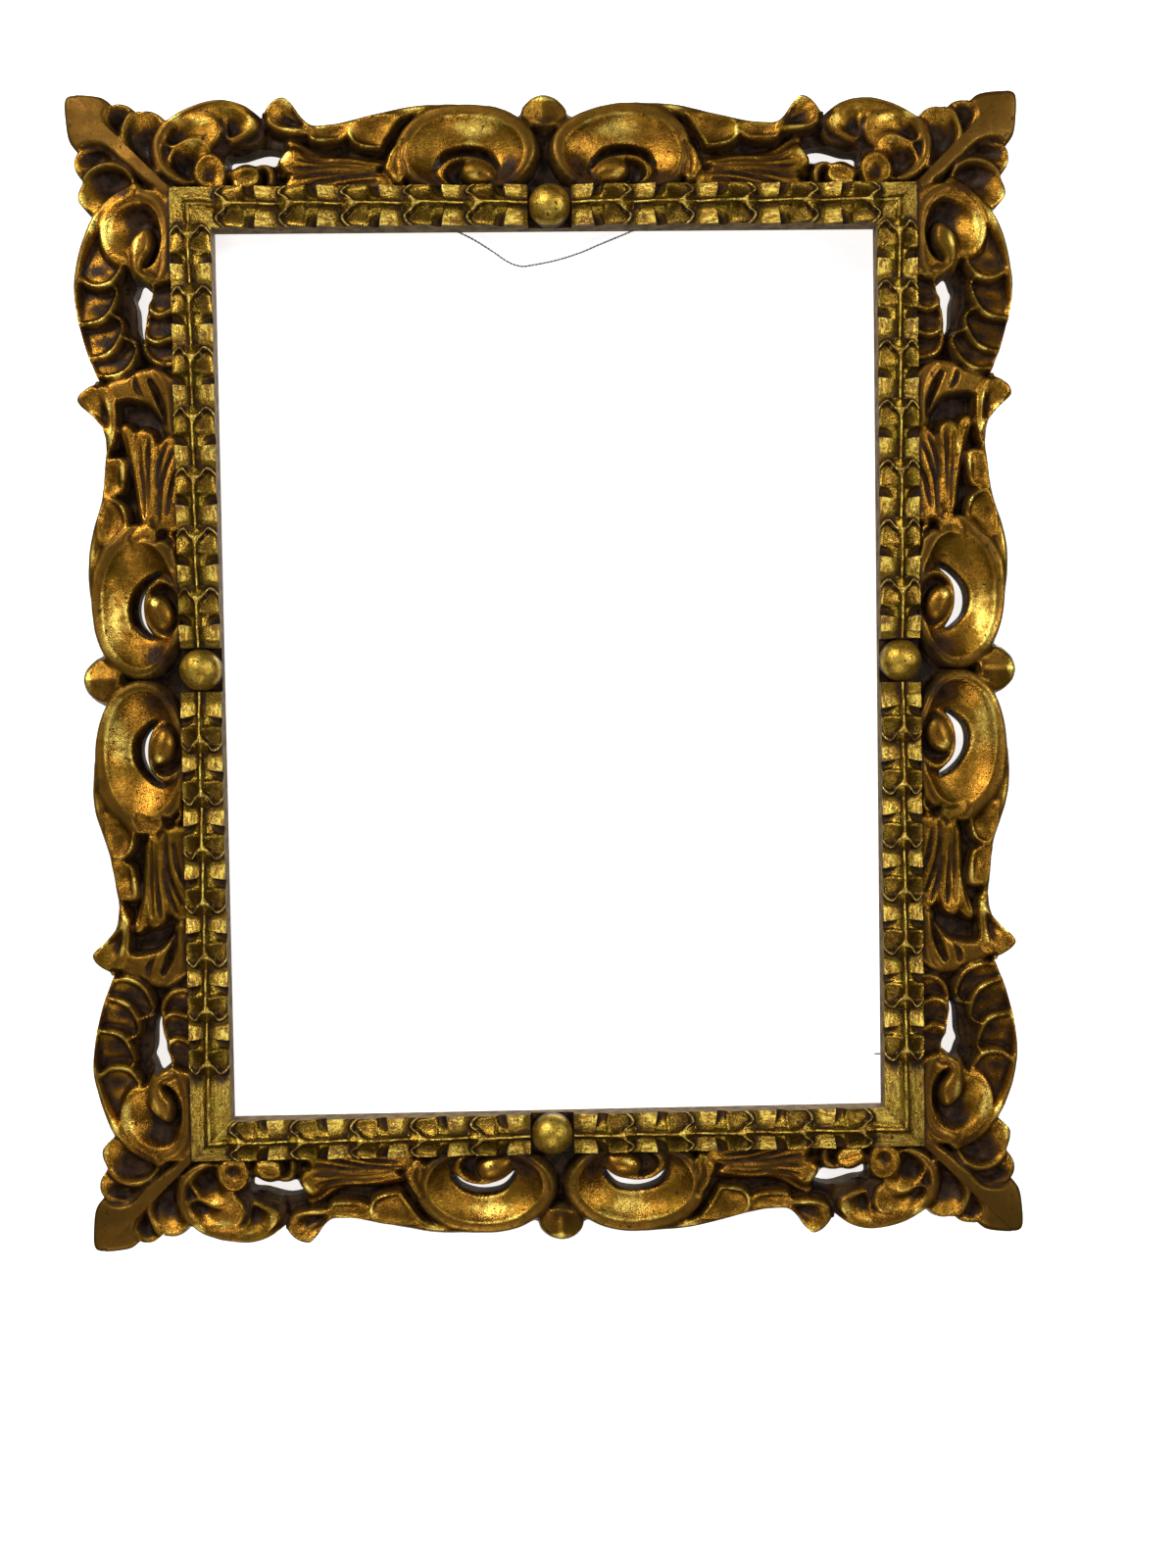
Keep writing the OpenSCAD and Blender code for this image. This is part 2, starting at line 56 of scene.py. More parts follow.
# Sizes that the frame gives
SIGHT_W = 2 * mm("right_moulding", 0, 0)
SIGHT_H = 2 * mm("top_moulding", 0, 2)
MOULDING_W = mm("right_moulding", 1, 0) - mm("right_moulding", 0, 0)
LIP_W = mm("right_rail", 0, 0) - mm("right_moulding", 0, 0)
BACK_Y = mm("top_rail", 1, 1)
RABBET_D = BACK_Y - mm("top_moulding", 1, 1)
KEY_T = round(mm("corner_key_top_left", 1, 1) - mm("corner_key_top_left", 0, 1), 1)
MITRE_GAP = (SIGHT_W - SIGHT_H) / 2 * MM  # x less z on the line of every mitre, in metres

# The strips' thickness in front of the rabbet: at the sight edge, the ridge and the shoulder
SIGHT_T, RIDGE_T, SHOULDER_T = 16.0, 22.0, 15.0
BEAD_R, BEAD_COLLAR_H, BEAD_SEAT_T = 14.0, 3.0, 8.0
# Half a rail's length and the width of its carving: the top and bottom rails are the end rails
END_L, END_CARVE_W = 317.0, 61.0
SIDE_L, SIDE_CARVE_W = 386.5, 68.0
GROUND_T = 13.5
# How far a rail and a strip stop short of the mitre
MITRE_JOINT, MITRE_GLUE = 0.05, 0.03
# Corner keys: their middle's place outward from the sight corner, and their own lengths
KEY_OUT, KEY_SLACK = 46.0, 0.15
KEY_HALF_END, KEY_HALF_WAIST, KEY_HALF_LONG = 10.0, 6.0, 20.0
RING_Y = 19.0
WALL_Y = 0.0262  # in metres

PAINT_STEP = 0.5
CARVE_STEP = 0.8
# Depths behind the back and in front of the highest crest
BELOW_ALL, ABOVE_ALL = -3.0, 42.0


# Camera at the photograph's place, and the studio
def camera_and_studio():
    camera = bpy.data.objects.new("camera", bpy.data.cameras.new("camera"))
    camera.location = (-0.0003, -1.0340, -0.0416)
    camera.rotation_euler = [math.radians(a) for a in (88.156, 0.867, -1.321)]
    camera.data.lens = 34.74
    camera.data.sensor_width = 36.0
    bpy.context.collection.objects.link(camera)
    scene = bpy.context.scene
    scene.camera = camera
    scene.view_settings.view_transform = "Standard"
    scene.world = studio_world()

    wall = plane("studio_wall", (0, WALL_Y, 0), (0, -1, 0), 6.0, 6.0)
    wall.data.materials.append(wall_paint())
    for ray in ("diffuse", "glossy", "transmission", "shadow"):
        setattr(wall, "visible_" + ray, False)
    room = half_dome("studio_room", 5.0)
    room.data.materials.append(room_paint())
    for ray in ("camera", "diffuse", "transmission", "shadow"):
        setattr(room, "visible_" + ray, False)

    soft_lamp("key_lamp", (-1.5, -1.7, 1.6), 0.9, 48, (1.0, 0.97, 0.92))
    soft_lamp("fill_lamp", (1.7, -1.9, 0.5), 0.8, 23, (0.95, 0.97, 1.0))
    soft_lamp("low_lamp", (-0.4, -1.9, -1.7), 0.8, 13, (1.0, 0.97, 0.93))
    soft_lamp("back_lamp", (0.6, 1.9, 0.9), 1.6, 32, (1.0, 0.98, 0.95))


def studio_world():
    """A dim cool light from all round, which the camera and mirrors see as white."""
    world = bpy.data.worlds.new("studio")
    world.use_nodes = True
    n = Nodes(world.node_tree)
    seen = n.add("ShaderNodeLightPath").outputs
    direct = n.math("MAXIMUM", seen["Is Camera Ray"], seen["Is Glossy Ray"])
    direct = n.math("MAXIMUM", direct, seen["Is Transmission Ray"])
    ambient = n.make("ShaderNodeBackground", Color=(0.85, 0.90, 1.0, 1), Strength=0.38)
    white = n.make("ShaderNodeBackground", Color=(1, 1, 1, 1), Strength=1.0)
    both = n.make("ShaderNodeMixShader", _0=direct, _1=ambient, _2=white)
    n.add("ShaderNodeOutputWorld", Surface=both)
    return world


def plane(name, middle, facing, w, h):
    bm = bmesh.new()
    turn = Vector(facing).to_track_quat("Z", "Y").to_matrix().to_4x4()
    bmesh.ops.create_grid(bm, x_segments=1, y_segments=1, size=0.5,
                          matrix=Matrix.Translation(middle) @ turn @ Matrix.Diagonal((w, h, 1, 1)))
    return piece_from(bm, name)


def half_dome(name, r):
    """The half of a sphere that lies in front of the wall."""
    bm = bmesh.new()
    bmesh.ops.create_icosphere(bm, subdivisions=4, radius=r)
    bmesh.ops.delete(bm, geom=[v for v in bm.verts if v.co.y > 0.45 * r], context="VERTS")
    return piece_from(bm, name)


def soft_lamp(name, place, size, power, colour):
    data = bpy.data.lights.new(name, "AREA")
    data.shape = "DISK"
    data.size = size
    data.energy = power
    data.color = colour
    lamp = bpy.data.objects.new(name, data)
    lamp.location = place
    lamp.rotation_euler = (-Vector(place)).to_track_quat("-Z", "Y").to_euler()
    bpy.context.collection.objects.link(lamp)


def piece_from(bm, name):
    mesh = bpy.data.meshes.new(name)
    bm.to_mesh(mesh)
    bm.free()
    return shown(mesh, name)


def shown(mesh, name):
    mesh.name = name
    piece = bpy.data.objects.new(name, mesh)
    bpy.context.collection.objects.link(piece)
    return piece


def applied(piece):
    """The mesh that a piece's modifiers make of it."""
    return bpy.data.meshes.new_from_object(
        piece.evaluated_get(bpy.context.evaluated_depsgraph_get()))


class Value:
    """A socket in a node tree. A plain sum on it adds a math node."""
    def __init__(self, nodes, socket):
        self.nodes = nodes
        self.socket = socket

    def __add__(self, other):
        return self.nodes.math("ADD", self, other)

    def __sub__(self, other):
        return self.nodes.math("SUBTRACT", self, other)

    def __mul__(self, other):
        return self.nodes.math("MULTIPLY", self, other)


class Nodes:
    """A node tree that is filled from top to bottom."""
    def __init__(self, tree):
        self.tree = tree
        tree.nodes.clear()

    def set(self, node, **values):
        """Fills inputs by name, or by place where two have one name: _0 is the first."""
        for key, value in values.items():
            socket = node.inputs[int(key[1:])] if key[0] == "_" else node.inputs[key.replace("_", " ")]
            if isinstance(value, Value):
                value = value.socket
            if isinstance(value, bpy.types.NodeSocket):
                self.tree.links.new(value, socket)
            else:
                socket.default_value = value
        return node

    def add(self, kind, **values):
        return self.set(self.tree.nodes.new(kind), **values)

    def make(self, kind, **values):
        """Adds a node for its first output."""
        return Value(self, self.add(kind, **values).outputs[0])

    def math(self, operation, a, b=0.0):
        node = self.add("ShaderNodeMath", _0=a, _1=b)
        node.operation = operation
        return Value(self, node.outputs[0])

    def vector(self, operation, a, b=(0, 0, 0)):
        node = self.add("ShaderNodeVectorMath", _0=a, _1=b)
        node.operation = operation
        return Value(self, node.outputs[0])

    def scaled(self, vector, by):
        node = self.add("ShaderNodeVectorMath", _0=vector)
        node.operation = "SCALE"
        return Value(self, self.set(node, Scale=by).outputs[0])

    def parts(self, vector):
        """The x, y and z of a vector."""
        return [Value(self, socket) for socket in self.add("ShaderNodeSeparateXYZ", _0=vector).outputs]

    def mix(self, factor, a, b):
        """From a to b, each a value or a colour of three numbers."""
        node = self.tree.nodes.new("ShaderNodeMix")
        node.data_type = "RGBA"
        a, b = [c if isinstance(c, Value) else (*c, 1) for c in (a, b)]
        return Value(self, self.set(node, _0=factor, _6=a, _7=b).outputs[2])

    def between(self, value, low, high, out_low=0.0, out_high=1.0):
        node = self.add("ShaderNodeMapRange", Value=value, From_Min=low, From_Max=high,
                        To_Min=out_low, To_Max=out_high)
        node.interpolation_type = "SMOOTHSTEP"
        return Value(self, node.outputs[0])

    def noise(self, place, scale, detail=3.0, roughness=0.55, distortion=0.0, stretch=None):
        if stretch:
            place = self.vector("MULTIPLY", place, stretch)
        return self.make("ShaderNodeTexNoise", Vector=place, Scale=scale, Detail=detail,
                         Roughness=roughness, Distortion=distortion)

    def on_side_rails(self, at):
        """1 on the side rails and 0 on the end rails, parted at the mitres."""
        x, _, z = self.parts(at)
        past = self.math("ABSOLUTE", x) - self.math("ABSOLUTE", z)
        return self.between(past, MITRE_GAP - 0.001, MITRE_GAP + 0.001)

    def attribute(self, name):
        node = self.tree.nodes.new("ShaderNodeAttribute")
        node.attribute_name = name
        return Value(self, node.outputs["Fac"])

    def bump(self, height, strength, distance):
        return self.make("ShaderNodeBump", Strength=strength, Distance=distance, Height=height)


def material(name):
    made = bpy.data.materials.new(name)
    made.use_nodes = True
    return made, Nodes(made.node_tree)


def finish_material(n, **values):
    n.add("ShaderNodeOutputMaterial", Surface=n.make("ShaderNodeBsdfPrincipled", **values))


def dimmed(colour, share):
    """A colour times one number, or times a number for each of its parts."""
    return tuple(np.multiply(colour, share))


def wall_paint():
    """Matt white in front, and nothing from behind."""
    made, n = material("studio_wall_white")
    lit = n.make("ShaderNodeBsdfDiffuse", Color=(0.9, 0.9, 0.9, 1))
    glow = n.make("ShaderNodeEmission", Color=(1, 1, 1, 1), Strength=0.72)
    both = n.make("ShaderNodeAddShader", _0=lit, _1=glow)
    behind = n.add("ShaderNodeNewGeometry").outputs["Backfacing"]
    n.add("ShaderNodeOutputMaterial", Surface=n.make(
        "ShaderNodeMixShader", _0=behind, _1=both, _2=n.make("ShaderNodeBsdfTransparent")))
    return made


def room_paint():
    """What the gilt mirrors: a dim room with pale light in a wide ring round the photographer."""
    made, n = material("studio_room_light")
    at = n.add("ShaderNodeTexCoord").outputs["Object"]
    right, back, up = n.parts(n.vector("NORMALIZE", at))
    ahead = back * -1.0
    ring = n.between(ahead, 0.985, 0.90) * n.between(ahead, 0.40, 0.66)
    above = n.between(up + right * -0.35, -0.6, 0.7, 0.35, 1.0)
    glow = n.make("ShaderNodeEmission", Color=(1.0, 0.97, 0.92, 1), Strength=ring * above * 0.62 + 0.022)
    n.add("ShaderNodeOutputMaterial", Surface=glow)
    return made


# Water gilding over brown bole, with a dark glaze left in the hollows and rubbed off the crests; the glaze
# also stands in as painted shade in the recesses, and the polished and rubbed gold as painted highlights
TONED_GLAZE_SHADE, THIN_GLAZE_SHADE = (0.066, 0.023, 0.0035), (0.040, 0.0165, 0.0036)
DEEP_GLAZE_SHADE, WALL_DUST_SHADE = (0.009, 0.0030, 0.0006), (0.055, 0.036, 0.018)
POLISH_HIGHLIGHT_GOLD, RIM_HIGHLIGHT_GOLD, RIM_COPPER = (0.96, 0.70, 0.14), (1.0, 0.74, 0.12), (0.42, 0.195, 0.025)
BROWN_BOLE, RED_BOLE = (0.11, 0.050, 0.011), (0.22, 0.062, 0.020)


def antique_gilt(name, leaf, olive, glaze_shade_reach, wear, polish, rub_and_highlight):
    """Leaf with an olive cast in patches, glazed where the hollows pass the given reach; that glaze is
    partly painted shade, and the polished gold and bright rims are partly painted highlights.
    """
    made, n = material(name)
    place = n.add("ShaderNodeTexCoord").outputs
    at = place["Object"]
    facing = n.parts(place["Normal"])[1]
    hollow, crest, calm = [n.attribute(key) for key in ("hollow", "crest", "calm")]
    patches = n.noise(at, 42.0, 4.0, 0.6)
    mottle = n.noise(at, 150.0, 5.0, 0.65)
    speckle = n.noise(at, 760.0, 3.0, 0.75)
    pits = n.noise(at, 330.0, 2.0, 0.5, 0.6)
    hammered = n.noise(at, 480.0, 1.0, 0.5)
    strokes = (n.noise(at, 230.0, 3.0, 0.6, 0.8, stretch=(1.0, 1.0, 5.5))
               + n.noise(at, 230.0, 3.0, 0.6, 0.8, stretch=(5.5, 1.0, 1.0))) * 0.5
    streaks = n.mix(n.on_side_rails(at), n.noise(at, 130.0, 3.0, 0.65, stretch=(1.0, 1.0, 4.0)),
                    n.noise(at, 130.0, 3.0, 0.65, stretch=(4.0, 1.0, 1.0)))

    lively = n.between(calm, 0.0, 1.0, 1.0, 0.25)
    uneven = (mottle - 0.5) * 0.75 + (speckle - 0.5) * 0.40
    depth = hollow + uneven * lively
    low, high = glaze_shade_reach
    toning_and_shade = n.between(depth, low - 0.35, high)
    # Bright rims on the crests: rubbed gold that is partly a painted highlight.
    rim = n.between(crest + uneven * 0.9, 0.20, 0.60, 0.0, rub_and_highlight)
    rim_highlight_tone = n.mix(n.between(streaks, 0.42, 0.56), RIM_COPPER, RIM_HIGHLIGHT_GOLD)
    worn_through = rim * n.between(speckle + mottle, 0.99, 1.11, 0.0, 0.85)
    rubbed = n.between(crest, 0.10, 0.55) * n.between(mottle, 0.58, 0.68)
    tone = n.mix(n.between(patches, 0.40, 0.64), leaf, olive)
    brown = n.between(mottle + strokes * 0.6, 0.80, 1.02, 0.0, 0.7)
    # Painted light in the leaf's tone: polished gold where the depth is low is partly a painted highlight,
    # and the toned glaze in the hollows is partly painted shade.
    for share, over in ((brown, dimmed(leaf, (0.42, 0.32, 0.22))),
                        (calm * 0.8, dimmed(olive, (0.50, 0.47, 0.66))),
                        (n.between(depth, -0.30, -0.75, 0.0, 0.85), POLISH_HIGHLIGHT_GOLD),
                        (toning_and_shade * 0.85, TONED_GLAZE_SHADE),
                        (rim * 0.9, rim_highlight_tone),
                        (worn_through, BROWN_BOLE),
                        (rubbed * wear, RED_BOLE)):
        tone = n.mix(share, tone, over)

    # Painted shade: walls that turn sideways take the dark glaze in a dust colour.
    edge_on = n.between(facing, -0.45, -0.08)
    wall = edge_on * n.between(speckle, 0.25, 0.50, 0.88, 1)
    dots = n.between(pits, 0.655, 0.70) * 0.85
    glaze_and_shade = n.math("MAXIMUM", n.between(depth, low, high), n.math("MAXIMUM", wall, dots))
    glaze_shade_tone = n.mix(n.between(mottle, 0.40, 0.66), DEEP_GLAZE_SHADE, THIN_GLAZE_SHADE)
    glaze_shade_tone = n.mix(edge_on * 0.7, glaze_shade_tone, WALL_DUST_SHADE)

    rough = n.between(patches * 0.4 + speckle * 0.6, 0.36, 0.64, polish, polish + 0.26)
    metal = n.between(glaze_and_shade, 0.3, 0.95, 0.96, 0.0) * n.between(rim, 0.0, 1.0, 1.0, 0.25)
    height = (mottle * 1.2 + speckle * 0.42 + strokes * 0.55 - dots * 0.6) * lively + hammered * rim * 2.2
    finish_material(n, Base_Color=n.mix(glaze_and_shade, tone, glaze_shade_tone),
                    Roughness=rough + glaze_and_shade * 0.16 + calm * 0.10,
                    Metallic=metal * n.between(calm, 0.0, 1.0, 1.0, 0.75),
                    Normal=n.bump(height, 0.6, 0.0008), Specular_IOR_Level=0.12)
    return made


def dull_bole(name, tone):
    """The thin brown clay on the side walls, dusty and unburnished."""
    made, n = material(name)
    at = n.add("ShaderNodeTexCoord").outputs["Object"]
    dust = n.noise(at, 640.0, 3.0, 0.7)
    colour = n.mix(n.between(n.noise(at, 130.0, 4.0, 0.6), 0.36, 0.64), dimmed(tone, 0.45), tone)
    colour = n.mix(n.between(dust, 0.55, 0.72, 0.0, 0.6), colour, dimmed(tone, 1.6))
    finish_material(n, Base_Color=colour, Roughness=n.between(dust, 0.3, 0.7, 0.72, 0.9),
                    Specular_IOR_Level=0.12, Normal=n.bump(dust, 0.5, 0.0005))
    return made


def aged_wood(name, tone, grain_way):
    """Bare wood gone brown, its grain drawn out along grain_way."""
    made, n = material(name)
    at = n.add("ShaderNodeTexCoord").outputs["Object"]
    grain = n.noise(at, 26.0, 6.0, 0.62, 0.7, stretch=grain_way)
    fine = n.noise(at, 130.0, 4.0, 0.6, stretch=grain_way)
    dark = dimmed(tone, 0.42)
    colour = n.mix(n.between(grain, 0.34, 0.68), tone, dark)
    colour = n.mix(n.between(n.noise(at, 11.0, 3.0), 0.52, 0.75, 0, 0.5), colour, dimmed(dark, 0.7))
    finish_material(n, Base_Color=colour, Roughness=n.between(fine, 0.3, 0.7, 0.62, 0.85),
                    Normal=n.bump(grain + fine * 0.5, 0.45, 0.0006))
    return made


def dull_steel(name, bright, rust):
    made, n = material(name)
    at = n.add("ShaderNodeTexCoord").outputs["Object"]
    spots = n.noise(at, 260.0, 5.0, 0.65)
    stained = n.between(spots, 0.52, 0.66, 0.0, rust)
    colour = n.mix(stained, dimmed((1, 0.98, 0.94), bright), (0.12, 0.055, 0.025))
    finish_material(n, Base_Color=colour, Metallic=n.between(stained, 0.1, 0.8, 0.95, 0.3),
                    Roughness=n.between(spots, 0.35, 0.7, 0.32, 0.6),
                    Normal=n.bump(n.noise(at, 1500.0, 2.0), 0.3, 0.0001))
    return made


# Hanging wire: its route in the plane of the screw eyes' rings, across and up
WIRE_ROUTE = [
    (-127, 330), (-134, 332.4), (-140, 334.6), (-146, 336.4), (-150, 337), (-152.4, 338.2),
    (-153, 340), (-152.4, 341.8), (-150, 343), (-146, 341.8), (-141, 338.4), (-134, 335),
    (-126, 331.6), (-112, 325.6), (-98, 320), (-84, 315), (-70, 309.6), (-58, 304.4), (-48, 299.2),
    (-36, 291.4), (-26, 284.6), (-17, 281.6), (-8, 282.6), (4, 284.8), (14, 287.4), (25, 291),
    (36, 295.6), (48, 300.4), (62, 306), (77, 311.6), (92, 317), (107, 322.4), (118, 327),
    (126, 330.6), (134, 334.4), (141, 338.2), (146, 341.6), (150, 343), (152.4, 341.8), (153, 340),
    (152.4, 338.2), (150, 337), (146, 336.2), (140, 333.8), (134, 331.4), (127, 328.6)]
WRAPS = [((-137.6, 334.8), (-121.6, 328.4)), ((137.6, 334.0), (121.6, 327.2))]


def smooth_line(points, steps):
    p = np.array(points, float)
    q = np.vstack([p[:1], p, p[-1:]])
    out = []
    for a, b, c, d in zip(q, q[1:], q[2:], q[3:]):
        for k in range(steps):
            t = k / steps
            out.append((2 * b + (c - a) * t + (2 * a - 5 * b + 4 * c - d) * t ** 2
                        + (3 * b - a - 3 * c + d) * t ** 3) / 2)
    out.append(p[-1])
    return np.array(out)


def node_group(name, inputs):
    """A Geometry Nodes tree that takes a mesh, the named inputs and a material."""
    tree = bpy.data.node_groups.new(name, "GeometryNodeTree")
    for key, kind in (("Geometry", "Geometry"), *inputs, ("Material", "Material")):
        tree.interface.new_socket(key, in_out="INPUT", socket_type="NodeSocket" + kind)
    tree.interface.new_socket("Geometry", in_out="OUTPUT", socket_type="NodeSocketGeometry")
    n = Nodes(tree)
    return tree, n, n.add("NodeGroupInput").outputs


def close_group(n, made, finish):
    n.add("NodeGroupOutput", Geometry=n.make("GeometryNodeSetMaterial", Geometry=made, Material=finish))


def winding_tree():
    """Strands that turn round a path: the tree's input is a chain of edges."""
    tree, n, given = node_group("winding_wire", (
        ("Strands", "Int"), ("Strand radius", "Float"), ("Winding radius", "Float"),
        ("Turn length", "Float"), ("Step", "Float")))
    even = n.add("GeometryNodeResampleCurve")
    even.mode = "LENGTH"
    n.set(even, Curve=n.make("GeometryNodeMeshToCurve", Mesh=given["Geometry"]), Length=given["Step"])
    copies = n.add("GeometryNodeDuplicateElements")
    copies.domain = "SPLINE"
    n.set(copies, Geometry=even.outputs[0], Amount=given["Strands"])
    share = n.math("DIVIDE", copies.outputs["Duplicate Index"], given["Strands"])
    gone = n.math("DIVIDE", n.add("GeometryNodeSplineParameter").outputs["Length"], given["Turn length"])
    angle = (gone + share) * (2 * math.pi)
    normal = n.make("GeometryNodeInputNormal")
    across = n.vector("CROSS_PRODUCT", n.make("GeometryNodeInputTangent"), normal)
    offset = n.vector("ADD", n.scaled(normal, n.math("COSINE", angle) * given["Winding radius"]),
                      n.scaled(across, n.math("SINE", angle) * given["Winding radius"]))
    wound = n.make("GeometryNodeSetPosition", Geometry=copies.outputs[0], Offset=offset)
    section = n.make("GeometryNodeCurvePrimitiveCircle", Resolution=6, Radius=given["Strand radius"])
    tubes = n.make("GeometryNodeCurveToMesh", Curve=wound, Profile_Curve=section, Fill_Caps=True)
    close_group(n, n.make("GeometryNodeRealizeInstances", Geometry=tubes), given["Material"])
    return tree


def grown(mesh, tree, **inputs):
    """The mesh that a node tree makes of the given one."""
    holder = shown(mesh, "grown")
    modifier = holder.modifiers.new("grow", "NODES")
    modifier.node_group = tree
    for item in tree.interface.items_tree:
        key = item.name.replace(" ", "_")
        if item.in_out == "INPUT" and key in inputs:
            modifier[item.identifier] = inputs[key]
    made = applied(holder)
    bpy.data.objects.remove(holder)
    return made


def chain(points):
    """A mesh of edges only, from point to point."""
    mesh = bpy.data.meshes.new("chain")
    mesh.from_pydata(points, [(i, i + 1) for i in range(len(points) - 1)], [])
    return mesh


def wire_point(across, up):
    return across * MM, RING_Y * MM, up * MM


def hanging_wire(steel):
    """Two wound strands from eye to eye, and a coil round each tied-back end."""
    route = [wire_point(*place) for place in smooth_line(WIRE_ROUTE, 4)]
    tree = winding_tree()
    strands = shown(grown(chain(route), tree, Strands=2, Strand_radius=0.36 * MM,
                          Winding_radius=0.34 * MM, Turn_length=5.2 * MM,
                          Step=0.65 * MM, Material=steel), "twisted_wire")
    bm = bmesh.new()
    for ends in WRAPS:
        start, end = [Vector(wire_point(*place)) for place in ends]
        line = [start.lerp(end, k / 20) for k in range(21)]
        bm.from_mesh(grown(chain(line), tree, Strands=1, Strand_radius=0.40 * MM,
                           Winding_radius=2.25 * MM, Turn_length=1.15 * MM, Step=0.09 * MM, Material=steel))
    wraps = piece_from(bm, "wire_wraps")
    wraps.data.materials.append(steel)
    for piece in (strands, wraps):
        piece.data.shade_smooth()
        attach(piece, "wire_loop")
        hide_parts("hanging_wire")


# Places a rail's own points: turn 0 is the top, 90 the right, 180 the bottom, 270 the left
def placed(points, turn):
    along, out, depth = np.asarray(points, float).T
    c, s = math.cos(math.radians(turn)), math.sin(math.radians(turn))
    up = sight_halves(turn)[1] + out
    return np.stack([along * c + up * s, BACK_Y - depth, up * c - along * s], 1) * MM


def sight_halves(turn):
    """Half the opening along a rail, and from the opening's middle out to the rail."""
    halves = (SIGHT_W / 2, SIGHT_H / 2)
    return halves if turn in (0, 180) else halves[::-1]


def bead_along(name, turn):
    """Where a bead's middle lies along its rail, from the rail's own middle."""
    x, _, z = [(mm(name, 0, axis) + mm(name, 1, axis)) / 2 for axis in range(3)]
    return round(x * math.cos(math.radians(turn)) - z * math.sin(math.radians(turn)), 1)


def ease(x, low, high):
    t = np.clip((x - low) / (high - low), 0.0, 1.0)
    return t * t * (3.0 - 2.0 * t)


def blurred(h, radius, step):
    k = max(1, int(round(radius / step)))
    for axis in (0, 1, 0, 1):
        pad = [(k + 1, k) if axis == i else (0, 0) for i in (0, 1)]
        total = np.cumsum(np.pad(h, pad, mode="edge"), axis)
        n = total.shape[axis]
        h = (np.take(total, range(2 * k + 1, n), axis)
             - np.take(total, range(0, n - 2 * k - 1), axis)) / (2 * k + 1)
    return h


